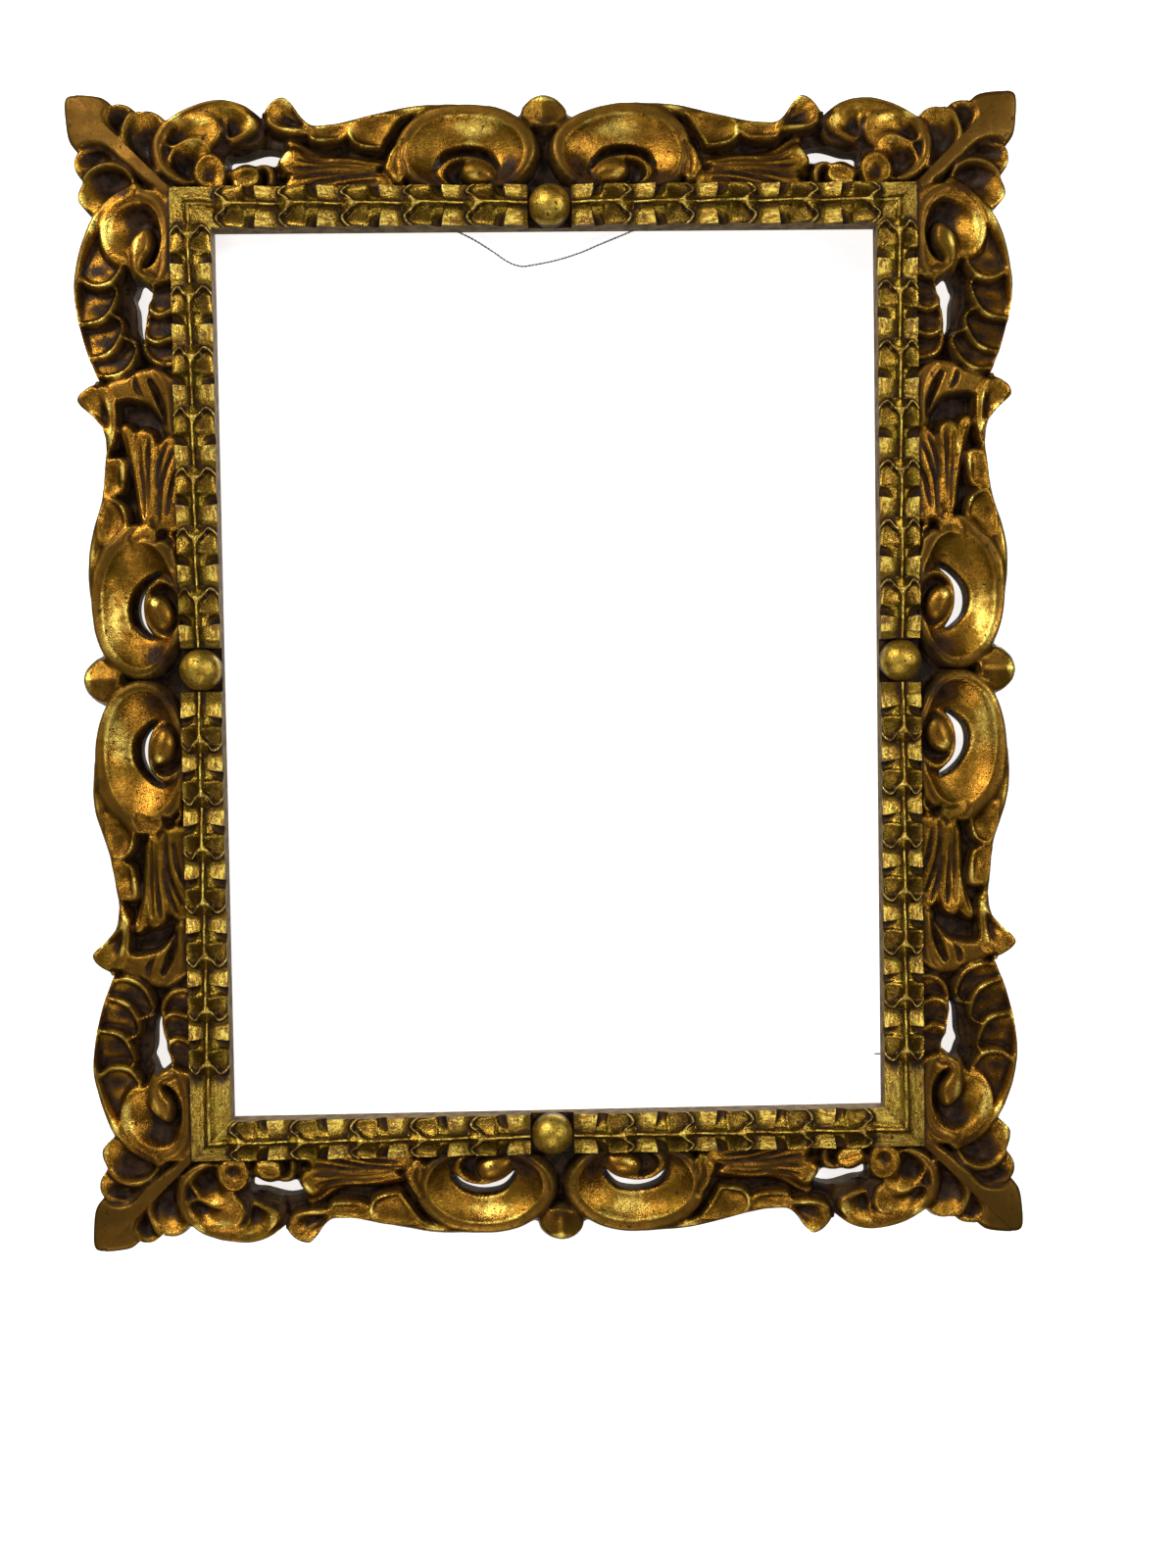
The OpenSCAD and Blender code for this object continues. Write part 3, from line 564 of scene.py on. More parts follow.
class Carving:
    """Heights of the carving over half a rail: s from its middle to the corner, v outward from the
    moulding. Each form is laid over those before it, as a carver leaves the front ones standing."""

    def __init__(self, reach, width, edge, hole):
        self.reach = reach
        self.width = width
        self.edge = edge
        self.hole = hole
        self.step = PAINT_STEP
        self.s = np.arange(-8.0, reach + 8.0, self.step)
        self.v = np.arange(-8.0, width + 8.0, self.step)
        self.S, self.V = np.meshgrid(self.s, self.v, indexing="ij")
        self.H = GROUND_T - 0.03 * self.V
        # The ground starts dark: the stain is glaze and painted shade between the forms, and a negative
        # stain is rubbed gold with a painted highlight.
        self.stain_and_shade = np.full(self.H.shape, 0.8)
        self.calm = np.zeros(self.H.shape)
        self.soft = max(0.9, self.step)

    def window(self, low, high):
        i = np.searchsorted(self.s, [low[0], high[0]])
        j = np.searchsorted(self.v, [low[1], high[1]])
        return slice(*i), slice(*j)

    def lay(self, win, top, inside, stain_and_shade=0.0, calm=0.0):
        cover = ease(inside, -self.soft, self.soft)
        for field, value in ((self.H, top), (self.stain_and_shade, stain_and_shade), (self.calm, calm)):
            field[win] += (value - field[win]) * cover

    def form(self, outline, top, stain_and_shade=0.15, calm=0.0):
        """A form inside a smooth closed outline; its top follows the distance in from its edge."""
        line = closed_line(outline, 4)
        win = self.window(line.min(0) - 2.0, line.max(0) + 2.0)
        s, v = self.S[win], self.V[win]
        inside = inside_distance(line, s, v)
        self.lay(win, top(s, v, inside), inside, stain_and_shade, calm)

    def touch(self, c, r, amount):
        """Glaze and painted shade gathered round a place or, where amount is negative, gold rubbed bright
        with a painted highlight there.
        """
        win = self.window((c[0] - 2 * r[0], c[1] - 2 * r[1]), (c[0] + 2 * r[0], c[1] + 2 * r[1]))
        near = np.exp(-((self.S[win] - c[0]) / r[0]) ** 2 - ((self.V[win] - c[1]) / r[1]) ** 2)
        self.stain_and_shade[win] = np.clip(self.stain_and_shade[win] + amount * near, -0.8, 1.2)
        self.calm[win] *= 1.0 - 0.8 * near * (amount < 0)

    def oval(self, c, r, top, stain_and_shade=0.15, calm=0.0):
        reach = max(r) + 2.0
        win = self.window((c[0] - reach, c[1] - reach), (c[0] + reach, c[1] + reach))
        p = (self.S[win] - c[0]) / r[0]
        q = (self.V[win] - c[1]) / r[1]
        rho = np.sqrt(p * p + q * q) + 1e-6
        slope = np.sqrt((p / r[0]) ** 2 + (q / r[1]) ** 2) / rho + 1e-6
        self.lay(win, top(rho, p, q), (1.0 - rho) / slope, stain_and_shade, calm)

    def stroke(self, points, widths, top, stain_and_shade=0.15, calm=0.8):
        """A band along a line; its top follows the share along it and across it."""
        line = smooth_line([(*p, w) for p, w in zip(points, widths)], 8)
        reach = max(widths) + 2.0
        win = self.window(line[:, :2].min(0) - reach, line[:, :2].max(0) + reach)
        s, v = self.S[win], self.V[win]
        best = np.full(s.shape, 1e9)
        along, across = np.zeros(s.shape), np.zeros(s.shape)
        n = len(line) - 1
        for i, (a, b) in enumerate(zip(line, line[1:])):
            d = b[:2] - a[:2]
            t = np.clip(((s - a[0]) * d[0] + (v - a[1]) * d[1]) / (d @ d + 1e-9), 0.0, 1.0)
            gs, gv = s - a[0] - t * d[0], v - a[1] - t * d[1]
            gap = np.hypot(gs, gv)
            width = a[2] + (b[2] - a[2]) * t
            take = gap - width < best
            best = np.where(take, gap - width, best)
            along = np.where(take, (i + t) / n, along)
            across = np.where(take, np.sign(d[0] * gv - d[1] * gs) * gap / np.maximum(width, 0.3),
                              across)
        self.lay(win, top(along, across), -best, stain_and_shade, calm)

    def outer_edge(self):
        points = []
        for run in self.edge:
            points += [(s * self.reach, v * self.width) for s, v in smooth_line(run, 5)[:-1]]
        return points + [(run[-1][0] * self.reach, run[-1][1] * self.width)]

    def finish(self, slit):
        """Rounds the carving's top along its edges and measures its hollows and crests, which set the glaze
        with its painted shade and the rims with their painted highlights.
        """
        outer = self.outer_edge()
        far = self.reach + 20
        body = [(-20, -20), (-20, outer[0][1])] + outer + [(far, outer[-1][1]), (far, -20)]
        inside = inside_distance(body, self.S, self.V)
        for hole in (self.hole, slit):
            inside = np.minimum(inside, -inside_distance(closed_line(hole, 4), self.S, self.V))
        self.H -= 1.7 * (1 - ease(inside, -0.2, 1.5)) ** 1.5
        self.H = blurred(self.H, 0.8, self.step)
        # Painted shade along the moulding's outer edge: a thin dark line where the carving meets it and a
        # wider band beside it.
        self.stain_and_shade += 0.9 * np.exp(-(self.V / 0.9) ** 2) + 0.2 * np.exp(-(self.V / 12.0) ** 2)
        narrow = (blurred(self.H, 2.0, self.step) - self.H) / 1.5
        wide = (blurred(self.H, 5.0, self.step) - self.H - 0.9) / 3.0
        deep = np.maximum(np.maximum(narrow, wide), -0.25)
        self.hollow = np.clip(deep + 0.9 * blurred(self.stain_and_shade, 1.0, self.step), -1.0, 1.4)
        self.crest = (self.H - blurred(self.H, 1.6, self.step)) / 1.3

    def sample(self, field, s, v):
        x = np.clip((s - self.s[0]) / self.step, 0, len(self.s) - 1.001)
        y = np.clip((v - self.v[0]) / self.step, 0, len(self.v) - 1.001)
        i, j = x.astype(int), y.astype(int)
        x, y = x - i, y - j
        return ((field[i, j] * (1 - x) + field[i + 1, j] * x) * (1 - y)
                + (field[i, j + 1] * (1 - x) + field[i + 1, j + 1] * x) * y)


def inside_distance(polygon, s, v):
    """Distance from the polygon's edge, positive inside."""
    p = np.asarray(polygon, float)
    gap = np.full(s.shape, 1e18)
    inside = np.zeros(s.shape, bool)
    for a, b in zip(p, np.roll(p, -1, 0)):
        d = b - a
        t = np.clip(((s - a[0]) * d[0] + (v - a[1]) * d[1]) / (d @ d + 1e-12), 0.0, 1.0)
        gap = np.minimum(gap, (s - a[0] - t * d[0]) ** 2 + (v - a[1] - t * d[1]) ** 2)
        if a[1] != b[1]:
            crosses = (a[1] > v) != (b[1] > v)
            inside ^= crosses & (s < (b[0] - a[0]) * (v - a[1]) / (b[1] - a[1]) + a[0])
    return np.where(inside, 1.0, -1.0) * np.sqrt(gap)


def rimmed(top, tilt, fall, start):
    """An oval's slanted top that rolls over from start, a share of its radius, to its edge."""
    return lambda rho, p, q: top + tilt[0] * p + tilt[1] * q - fall * ease(rho, start, 1.0)


def dished(top, depth, tilt=(0.0, 0.0)):
    return lambda rho, p, q: (top - depth * np.clip(1.0 - rho ** 2, 0, 1) ** 0.8
                              + tilt[0] * p + tilt[1] * q)


def domed(top, fall):
    return lambda rho, p, q: top - fall * rho ** 2


def rolled(top, fall):
    return lambda t, u: top - fall * u ** 2


def gouged(top, depth):
    return lambda t, u: top - depth * np.clip(1.0 - u ** 2, 0, 1) ** 0.8


def pillow(top, fall, wall, tilt=(0.0, 0.0)):
    """A rounded form: level inside, falling away over wall towards its edge."""
    return lambda s, v, d: (top - fall * (1.0 - np.clip(d / wall, 0, 1)) ** 2
                            + tilt[0] * (s - s.mean()) / 10 + tilt[1] * (v - v.mean()) / 10)


def scoop(edge, depth, low, reach, wall):
    """A form scooped out round the place low, and rounded over where it lies far from it."""
    def top(s, v, d):
        near = np.exp(-((s - low[0]) ** 2 + (v - low[1]) ** 2) / reach ** 2)
        far = 1.6 * (1 - near) * (1 - np.clip(d / 3.5, 0, 1)) ** 2
        return edge - far - depth * (ease(d, 0.2, wall) * near + 0.12 * ease(d, 2.0, 2.5 * wall))
    return top


def scale(edge, depth, start, reach):
    """A scale of an overlapping row: high at its start, falling along the rail."""
    return lambda s, v, d: edge - depth * ease(d, 0.6, 3.4) * (
        0.25 + 0.75 * np.clip((s - start) / reach, 0, 1))


def flutes(c, lines, width, cut):
    """Thin gouge cuts along a leaf, narrow at both ends."""
    for line in lines:
        c.stroke(line, [0.5] + [width] * (len(line) - 2) + [0.4], cut, stain_and_shade=0.55)


def scroll_scale(c, start, depth, outline, edge):
    c.form(outline, scale(24.6, depth, start, 22))
    c.touch((start + 11, outline[2][1] + 2), (5, 9), 0.7)
    c.stroke(edge, [0.9, 1.8, 2.1, 2.1, 1.8, 0.8], rolled(25.0, 1.3))


def leaf_scale(c, start, outline, edge):
    c.form(outline, scale(23.8, 7, start, 15))
    c.touch((start + 8, 8), (4, 7), 0.7)
    c.stroke(edge, [0.9, 1.5, 1.7, 1.5, 0.8], rolled(24.2, 1.2))


def rub_bright_and_highlight(c, places):
    """Gold rubbed bright on the crests, partly painted highlights, each with its own reach along and across
    the rail.
    """
    for place, reach in places:
        c.touch(place, reach, -0.75)


def corner_leaf(c, outline, start):
    """The half of the smooth corner leaf that lies on this rail, the mitre along its middle."""
    off = (start + c.V - c.S) / math.sqrt(2)
    body = 24.0 - 0.005 * off ** 2
    inside = inside_distance(closed_line(outline, 4), c.S, c.V)
    stem = ease(c.S + c.V, start + 36, start + 76)
    fall = 1.2 * stem * (1 - np.clip(inside / 2.5, 0, 1)) ** 2
    c.lay((slice(None), slice(None)), body + 1.2 * (1 - stem) - fall, inside, 0.12, 1.0)


def middle_bud(c, foot, reach):
    """The ridged bud between the two large scrolls, which overlap its sides."""
    half = [(0, reach + 2), (7, reach + 0.5), (12.5, reach - 4), (16, foot + 5), (16, foot - 4),
            (9, foot - 9)]

    def ridged(s, v, d):
        edge = 2.0 * (1 - np.clip(d / 3.5, 0, 1)) ** 2
        return 25.0 - 0.36 * np.abs(s) - 0.12 * (v - foot) - edge

    c.form(half + [(0, foot - 12)] + [(-a, b) for a, b in half[:0:-1]], ridged, 0.1, 0.5)
    c.touch((0, foot - 8), (7, 6), 0.8)


# Outer edge of half a rail, from the middle to the corner: shares of its half length and of the
# carving's width, in runs that meet at sharp inner corners
SIDE_EDGE = [
    [(0, 0.98), (0.021, 0.95), (0.036, 0.87), (0.044, 0.79)],
    [(0.044, 0.79), (0.078, 0.86), (0.122, 0.91), (0.171, 0.925), (0.217, 0.905),
     (0.264, 0.845), (0.31, 0.757), (0.362, 0.706), (0.409, 0.688), (0.435, 0.713)],
    [(0.435, 0.713), (0.455, 0.81), (0.473, 0.92), (0.486, 0.953), (0.499, 0.926),
     (0.51, 0.84), (0.515, 0.735)],
    [(0.515, 0.735), (0.569, 0.853), (0.621, 0.926), (0.673, 0.956), (0.719, 0.934),
     (0.761, 0.868), (0.797, 0.765)],
    [(0.797, 0.765), (0.818, 0.882), (0.838, 0.89), (0.854, 0.845)],
    [(0.854, 0.845), (0.875, 0.92), (0.893, 0.926), (0.906, 0.897)],
    [(0.906, 0.897), (0.926, 0.978), (0.957, 1), (0.988, 1), (0.999, 0.956), (1, 0.85)]]
END_EDGE = [
    [(0, 1), (0.025, 0.99), (0.041, 0.93), (0.05, 0.81)],
    [(0.05, 0.81), (0.11, 0.89), (0.17, 0.925), (0.268, 0.89), (0.33, 0.83),
     (0.394, 0.76), (0.44, 0.70), (0.48, 0.695)],
    [(0.48, 0.695), (0.505, 0.75), (0.527, 0.90), (0.546, 0.97), (0.568, 0.94),
     (0.587, 0.85), (0.593, 0.77)],
    [(0.593, 0.77), (0.63, 0.89), (0.678, 0.95), (0.72, 0.93), (0.757, 0.86), (0.789, 0.74)],
    [(0.789, 0.74), (0.814, 0.845), (0.84, 0.86), (0.852, 0.82)],
    [(0.852, 0.82), (0.87, 0.90), (0.89, 0.925), (0.902, 0.90)],
    [(0.902, 0.90), (0.92, 0.97), (0.946, 0.995), (0.98, 1), (1, 0.97)]]
# Pierced holes beside the corner scrolls, and the crescents outside the volutes
SIDE_HOLE = [(267, 24), (260, 27), (256, 28.5), (249, 26.5), (233.5, 25.5), (227.5, 21), (225.5, 19.5),
    (232.5, 19), (245.5, 17), (259.5, 13.5), (263.5, 19)]
END_HOLE = [(208, 13), (200, 16), (190, 18.5), (181, 17.5), (174, 25), (186, 29), (202, 25), (212, 23)]
# Slots outside the large volutes. Each lies in a deep groove, and is wider on the bottom and right rails.
SLOT_FLOOR = 9.0
END_SLIT = [(74, 12.5), (69.5, 20.5), (60, 25), (50, 26), (40.5, 24), (34.6, 18.6), (32.4, 13.6),
    (35, 17.2), (41, 20.8), (48, 22), (56, 22), (64, 20.2), (70, 16)]
END_SLOT = [(74, 15.5), (69.5, 24), (59.5, 28.6), (49.5, 29.4), (39.6, 27), (33, 20),
    (31.2, 13.6)] + END_SLIT[7:]
SIDE_SLIT = [(72, 13.5), (67.5, 22), (58.5, 29), (49, 31.5), (39.5, 30), (32.5, 25), (29.4, 19),
    (32.5, 22.2), (39, 25.6), (46, 26.8), (54, 26.2), (62, 22.6), (68, 17)]
SIDE_SLOT = [(72, 14.5), (68, 24), (59, 32.5), (49, 35.6), (38.5, 33.6), (31, 26), (28, 19)] + SIDE_SLIT[7:]


def closed_line(points, steps):
    p = np.array(points, float)
    n = len(p)
    wide = np.vstack([p[-2:], p, p[:3]])
    return smooth_line(wide, steps)[2 * steps:(2 + n) * steps]


def end_carving():
    c = Carving(END_L, END_CARVE_W, END_EDGE, END_HOLE)
    c.stroke([(58, 54), (75, 53), (90, 51), (104, 47.5), (118, 45), (132, 43.5), (146, 42), (158, 41)],
        [2.5, 3.4, 4.6, 5.2, 4.2, 2.8, 2.4, 2.8], rolled(22.0, 1.8))
    c.touch((62, 54), (2.5, 1.5), 1.0)
    for carve in (end_scroll, end_fan, end_band, end_corner_scroll, end_lobes):
        carve(c)
    c.form(END_SLOT, lambda s, v, d: SLOT_FLOOR, stain_and_shade=1.1)
    rub_bright_and_highlight(c, (((265, 46), (8, 4)), ((196, 43), (4, 6)), ((212, 50.5), (7, 3.5)),
        ((228, 43), (11, 4)), ((233, 28), (8, 3.5)), ((171, 56), (5, 4)), ((168, 38), (9, 2.2)),
        ((128, 36), (3, 7)), ((119, 27), (8, 2)), ((148, 32), (8, 2.4)), ((48, 40), (24, 9)),
        ((47, 7), (5, 4)), ((101, 6), (6, 2.4)), ((84, 51), (11, 2.5)), ((172, 20), (5, 5)),
        ((150, 41), (8, 1.6)), ((0, 58), (8, 3)), ((245, 46), (6, 3))))
    c.finish(END_SLIT)
    return c


def end_scroll(c):
    """The large scroll: rolled rim, bowl, leaf flicks, volute and eye."""
    middle_bud(c, 48, 61)
    c.oval((51.5, 24), (48.5, 32.5), rimmed(25.4, (-0.6, -0.8), 1.8, 0.90), 0.25, 0.9)
    c.oval((52, 22), (40, 25.8), dished(25.4, 11.5, (-0.4, -0.6)), 0.0)
    c.touch((24, 10), (8, 12), 0.8)
    c.touch((82, 5), (9, 5), 0.5)
    c.form([(94, 2), (92.5, 12), (95, 20), (93, 30), (99, 29.5), (104, 23), (107.2, 14), (106.8, 6),
        (101, 3)], pillow(23.2, 1.8, 3.5))
    c.stroke([(97.5, 9), (99, 17), (97, 26)], [0.5, 0.9, 0.4], gouged(22.2, 1.4))
    c.stroke([(95.5, 7.5), (100, 5.4), (106, 5.8)], [0.9, 1.5, 0.9], rolled(24, 1.0))
    c.oval((52.5, 10), (21, 12), rimmed(25.0, (0.5, -0.8), 1.4, 0.86))
    c.oval((49, 8.2), (17.6, 10), dished(19, 5.0))
    c.touch((60, 7), (6, 8), 1.0)
    c.form([(32, 8), (34, 14), (40, 19), (48, 20), (54, 17), (56.5, 11), (54, 5.5), (48, 2.5), (40, 1.6),
        (34, 3.5)], pillow(25.8, 4.4, 9.5, (0.5, -0.5)), 0.1, 0.6)


def end_fan(c):
    """Two fluted leaves over a plain one."""
    c.form([(104, 19), (120, 22), (140, 22), (152, 25), (162, 31), (170, 34.5), (174, 31), (168, 25),
        (150, 17), (120, 14)], pillow(18.8, 1.6, 3), stain_and_shade=0.45)
    c.form([(106, 11), (125, 12), (150, 11.5), (166, 11), (172, 6), (174, 0), (172, -5), (104, -5)],
        pillow(21.8, 3.0, 5))
    flutes(c, ([(108, 9), (130, 7.5), (148, 4.5), (162, -1)],
        [(112, 5), (130, 3), (144, -1)],
        [(126, 10.5), (148, 9), (166, 6)]), 1.0, gouged(20.2, 1.2))
    c.form([(107, 16), (122, 19), (138, 20.5), (150, 20), (158, 22), (164, 26), (170, 27.5), (175, 24),
        (178.6, 17), (176, 11.5), (170, 8.5), (160, 9.5), (140, 10.5), (120, 10)], pillow(23.8, 3.4, 5))
    flutes(c, ([(110, 14.5), (130, 16.5), (150, 16.5), (164, 18.5)],
        [(116, 12.5), (140, 13.5), (158, 12.5), (168, 13)],
        [(142, 18.6), (154, 19), (162, 21.5)]), 1.1, gouged(21.6, 1.6))
    c.stroke([(169, 9.2), (174, 8.6), (177, 10)], [0.6, 1.1, 0.5], rolled(21, 0.8))


def end_band(c):
    """The outer band with its two tongues, and the curled leaf tip."""
    c.form([(94, 47), (106, 48.5), (118, 47.5), (126, 45), (130.5, 39.5), (130, 33), (126, 28),
        (119, 25.6), (109, 25), (106, 30), (101, 37)], scoop(23.2, 3.2, (114, 36), 14, 4))
    c.stroke([(127.5, 43.5), (129.6, 38), (129, 32.5), (125.5, 28.6), (119, 26.4), (110, 25.8)],
        [0.7, 1.3, 1.6, 1.6, 1.4, 0.6], rolled(24.8, 1.0))
    c.form([(130, 43), (142, 42.5), (152, 41.5), (158, 39), (158.5, 34), (155, 29.6), (147, 29),
        (138, 30), (131, 33)], scoop(23.0, 2.6, (142, 37), 10, 4))
    c.stroke([(138, 31.6), (147, 30.8), (154, 31.2), (157.3, 34.5)], [0.8, 1.7, 1.7, 0.9],
        rolled(24.4, 1.0))
    c.form([(155, 41), (160, 47), (164.5, 54), (168.5, 60.5), (174, 61), (180, 58.5), (185, 53.5),
        (187.5, 48), (186, 42), (181, 37.5), (176, 36), (167, 34.5), (157, 35)],
        scoop(24.6, 7.0, (168, 45), 9, 5))
    c.touch((166, 44.5), (8, 4), 1.0)
    c.stroke([(157, 37.6), (166, 37.8), (175, 38.5), (181, 41.5), (184.5, 46)], [1.2, 2.4, 2.4, 2.2, 1.2],
        rolled(24.2, 1.4))
    c.stroke([(163, 44), (170, 48.5), (177, 54)], [0.5, 0.9, 0.5], rolled(21.8, 0.8))


def end_corner_scroll(c):
    """Rim, three nested shells, volute and eye."""
    c.form([(187, 50), (200, 57.5), (213, 59.5), (228, 57.5), (242, 52), (252, 45.5), (259.5, 36),
        (261.5, 26), (259.5, 14), (252, 5), (240, 0), (225, 12), (212, 18), (207, 26), (192, 28),
        (186, 36)], pillow(19.5, 2, 3), stain_and_shade=0.9)
    c.form([(190.5, 44), (197, 51.5), (206, 54.8), (217, 55.2), (229, 52.6), (240, 47), (226, 46),
        (214, 45), (212, 37), (210, 30.5), (202, 33), (195, 35.5)], scoop(23.8, 8.0, (211, 38), 9, 5))
    c.touch((208, 37), (6, 7), 0.95)
    c.stroke([(191, 43), (192.5, 38.5), (196.5, 35.2), (202, 32.4), (208, 29.8)],
        [1.0, 1.5, 1.6, 1.4, 0.7], rolled(24.0, 1.0))
    c.form([(221, 26), (215.5, 31), (213.5, 38), (216.5, 44.5), (223, 48.3), (232, 49), (240, 47.2),
        (247, 43), (252, 36), (252, 29), (246, 27), (232, 31)], scoop(24.6, 8.5, (246, 30), 13, 6))
    c.touch((246, 31), (5, 4), 1.0)
    c.stroke([(220.5, 26.5), (216, 31.5), (214.4, 38), (217, 44), (223, 47.4)], [0.7, 1.3, 1.4, 1.4, 0.8],
        rolled(25.2, 1.0))
    c.form([(220.5, 24), (223, 29), (227.5, 32), (234, 32.6), (241, 30.5), (247, 26.5), (250.5, 19),
        (248, 10), (241, 5), (232, 2), (231, 10), (229, 18)], scoop(24.6, 11.0, (240, 14), 11, 4))
    c.touch((240, 14), (7.5, 9), 1.1)
    c.stroke([(220.8, 24.6), (223.6, 29), (228.5, 31.8), (235, 32), (242, 29.6)],
        [0.7, 1.2, 1.3, 1.2, 0.6], rolled(25.4, 1.0))
    c.stroke([(188.5, 49.5), (200, 55), (213, 57), (228, 54.2), (241, 48.8), (250.5, 41.6), (255.2, 33.5),
        (256.6, 25), (254.6, 15.5), (248, 8), (239, 3)],
        [1.4, 2.3, 2.3, 2.7, 3.2, 3.9, 4.3, 4.4, 4.2, 3.8, 2.6], rolled(25.0, 1.6))
    c.form([(210, 14), (213, 19.5), (218.5, 23), (226, 22.4), (231, 18), (234.2, 11), (232.5, 4),
        (227, -1), (214, -1)], pillow(25.4, 3.0, 3.5))
    c.form([(213, 13), (216, 17.5), (220.5, 19.3), (225, 17.6), (228, 12), (227, 6), (223, 2.4),
        (215, 3)], scoop(25.0, 3.6, (223, 8), 6, 5), stain_and_shade=0.2)
    c.stroke([(190, 15.5), (184.5, 14.5), (181.6, 9.5), (182, 3)], [2.2, 3.2, 3.2, 2.6],
        rolled(21.5, 2.4), stain_and_shade=0.4)
    c.oval((199.5, 8.8), (11, 9.6), domed(25.6, 5.0))
    c.form([(189.5, 10.6), (196.5, 10.6), (203.5, 6.8), (208, 1), (201, 0), (193, 3.6)],
        lambda s, v, d: 22.6 + 0.12 * (s - 198) - 0.28 * (v - 5), stain_and_shade=-0.5)


def end_lobes(c):
    """Two gouged lobes beside half of the corner leaf."""
    c.form([(251, 44), (254.5, 50), (261, 53), (267.5, 52.5), (273, 49), (278.5, 41), (280, 32),
        (277, 24), (270, 16.5), (262, 10.5), (255, 9), (258, 18), (258.5, 30), (255, 38)],
        scoop(24.2, 10.0, (264, 28), 15, 4.5))
    c.touch((264, 26), (8, 15), 1.0)
    c.form([(268, 52), (275, 56.5), (283, 57.5), (289, 54), (290.5, 46.5), (286, 38.5), (281, 32),
        (279.5, 39), (275.5, 46)], scoop(23.4, 9.0, (281.5, 42), 8, 3))
    c.touch((282, 44), (6, 9), 1.0)
    c.stroke([(268.5, 52), (274.5, 47.5), (278, 40.5), (279, 33), (276.6, 26), (271, 19)],
        [0.8, 1.8, 2.1, 2.2, 2.0, 1.2], rolled(25.0, 1.3))
    corner_leaf(c, [(243, -2), (250, 3), (258, 9), (266, 15), (272, 21.5), (276.5, 28.5), (281, 32.5),
        (287, 39.5), (290, 47), (287.5, 53), (284, 58), (288, 66), (340, 70), (330, 55), (262, -8),
        (246, -6)], END_L - SIDE_CARVE_W)


def side_carving():
    c = Carving(SIDE_L, SIDE_CARVE_W, SIDE_EDGE, SIDE_HOLE)
    c.stroke([(56, 59), (70, 58.5), (85, 57), (98, 53.5), (112, 50), (126, 48), (140, 47), (154, 46),
        (168, 47)], [2.5, 4, 5, 5.6, 4.6, 3.2, 2.8, 2.8, 2.6], rolled(22.0, 1.8))
    c.touch((60, 56), (3, 2), 1.0)
    for carve in (side_scroll, side_fan, side_band, side_calyx, side_scales, side_leaf, side_bowl,
            side_lobes):
        carve(c)
    c.form(SIDE_SLOT, lambda s, v, d: SLOT_FLOOR, stain_and_shade=1.1)
    rub_bright_and_highlight(c, (((36, 45), (30, 10)), ((78, 56.5), (14, 2.6)), ((113, 36.5), (7, 2.6)),
        ((139, 35.5), (8, 2.6)), ((177, 56), (4, 6)), ((182, 44), (8, 2.4)), ((203, 38), (3, 9)),
        ((216.5, 43), (3, 8)), ((238.5, 50), (3, 9)), ((263.5, 46), (3, 9)), ((212, 8), (3, 7)),
        ((226.5, 11), (3, 6)), ((245, 10), (3, 6)), ((297, 42), (17, 8)), ((163, 43), (7, 3)),
        ((318, 57), (7, 4)), ((338, 62.5), (5, 2.5)), ((288, 23), (8, 3)), ((240, 63), (12, 1.6)),
        ((150, 25), (9, 4)), ((52, 17), (4, 4)), ((0, 62), (7, 3)), ((300, 51), (8, 3))))
    c.finish(SIDE_SLIT)
    return c


def side_scroll(c):
    """The large scroll: rolled rim, bowl, leaf flicks, volute and eye."""
    middle_bud(c, 51, 65)
    c.oval((52, 28), (52.5, 32.5), rimmed(25.4, (-0.4, -0.8), 1.8, 0.90), 0.25, 0.9)
    c.oval((50, 26.5), (43.5, 25.6), dished(25.4, 11.5, (-0.4, -0.8)), 0.0)
    c.touch((15, 15), (9, 12), 0.8)
    c.form([(84, 1), (92, 5), (96, 11), (92, 14), (94, 22), (90, 33), (97, 32.5), (102.5, 27.5),
        (106.3, 20), (106.5, 13), (101, 8), (95, 1)], pillow(23.2, 1.8, 3.5))
    c.form([(93.5, 13.5), (99, 13.5), (105.5, 12.4), (103, 8.6), (96, 8.2)], pillow(15, 0.5, 1), stain_and_shade=1.0)
    c.stroke([(94, 17.2), (99, 15.6), (105, 14.2)], [0.9, 1.6, 0.8], rolled(24.2, 1.0))
    c.stroke([(76, 2.5), (84, 4), (90, 8), (93, 13)], [2, 2.8, 2.6, 1.2], rolled(25.0, 1.6))
    c.oval((49, 13), (20.5, 12.8), rimmed(25.0, (0.5, -0.8), 1.4, 0.86))
    c.oval((46.5, 11.5), (17, 11), dished(19, 5.0))
    c.touch((58, 10), (6, 9), 1.0)
    c.form([(31.5, 12), (33.5, 18), (39.5, 22.6), (48, 24.6), (55, 22.5), (57.5, 17), (55, 10.5),
        (50, 6.6), (42, 4.6), (35, 6.6)], pillow(25.9, 4.4, 9.5, (0.5, -0.5)), 0.1, 0.6)


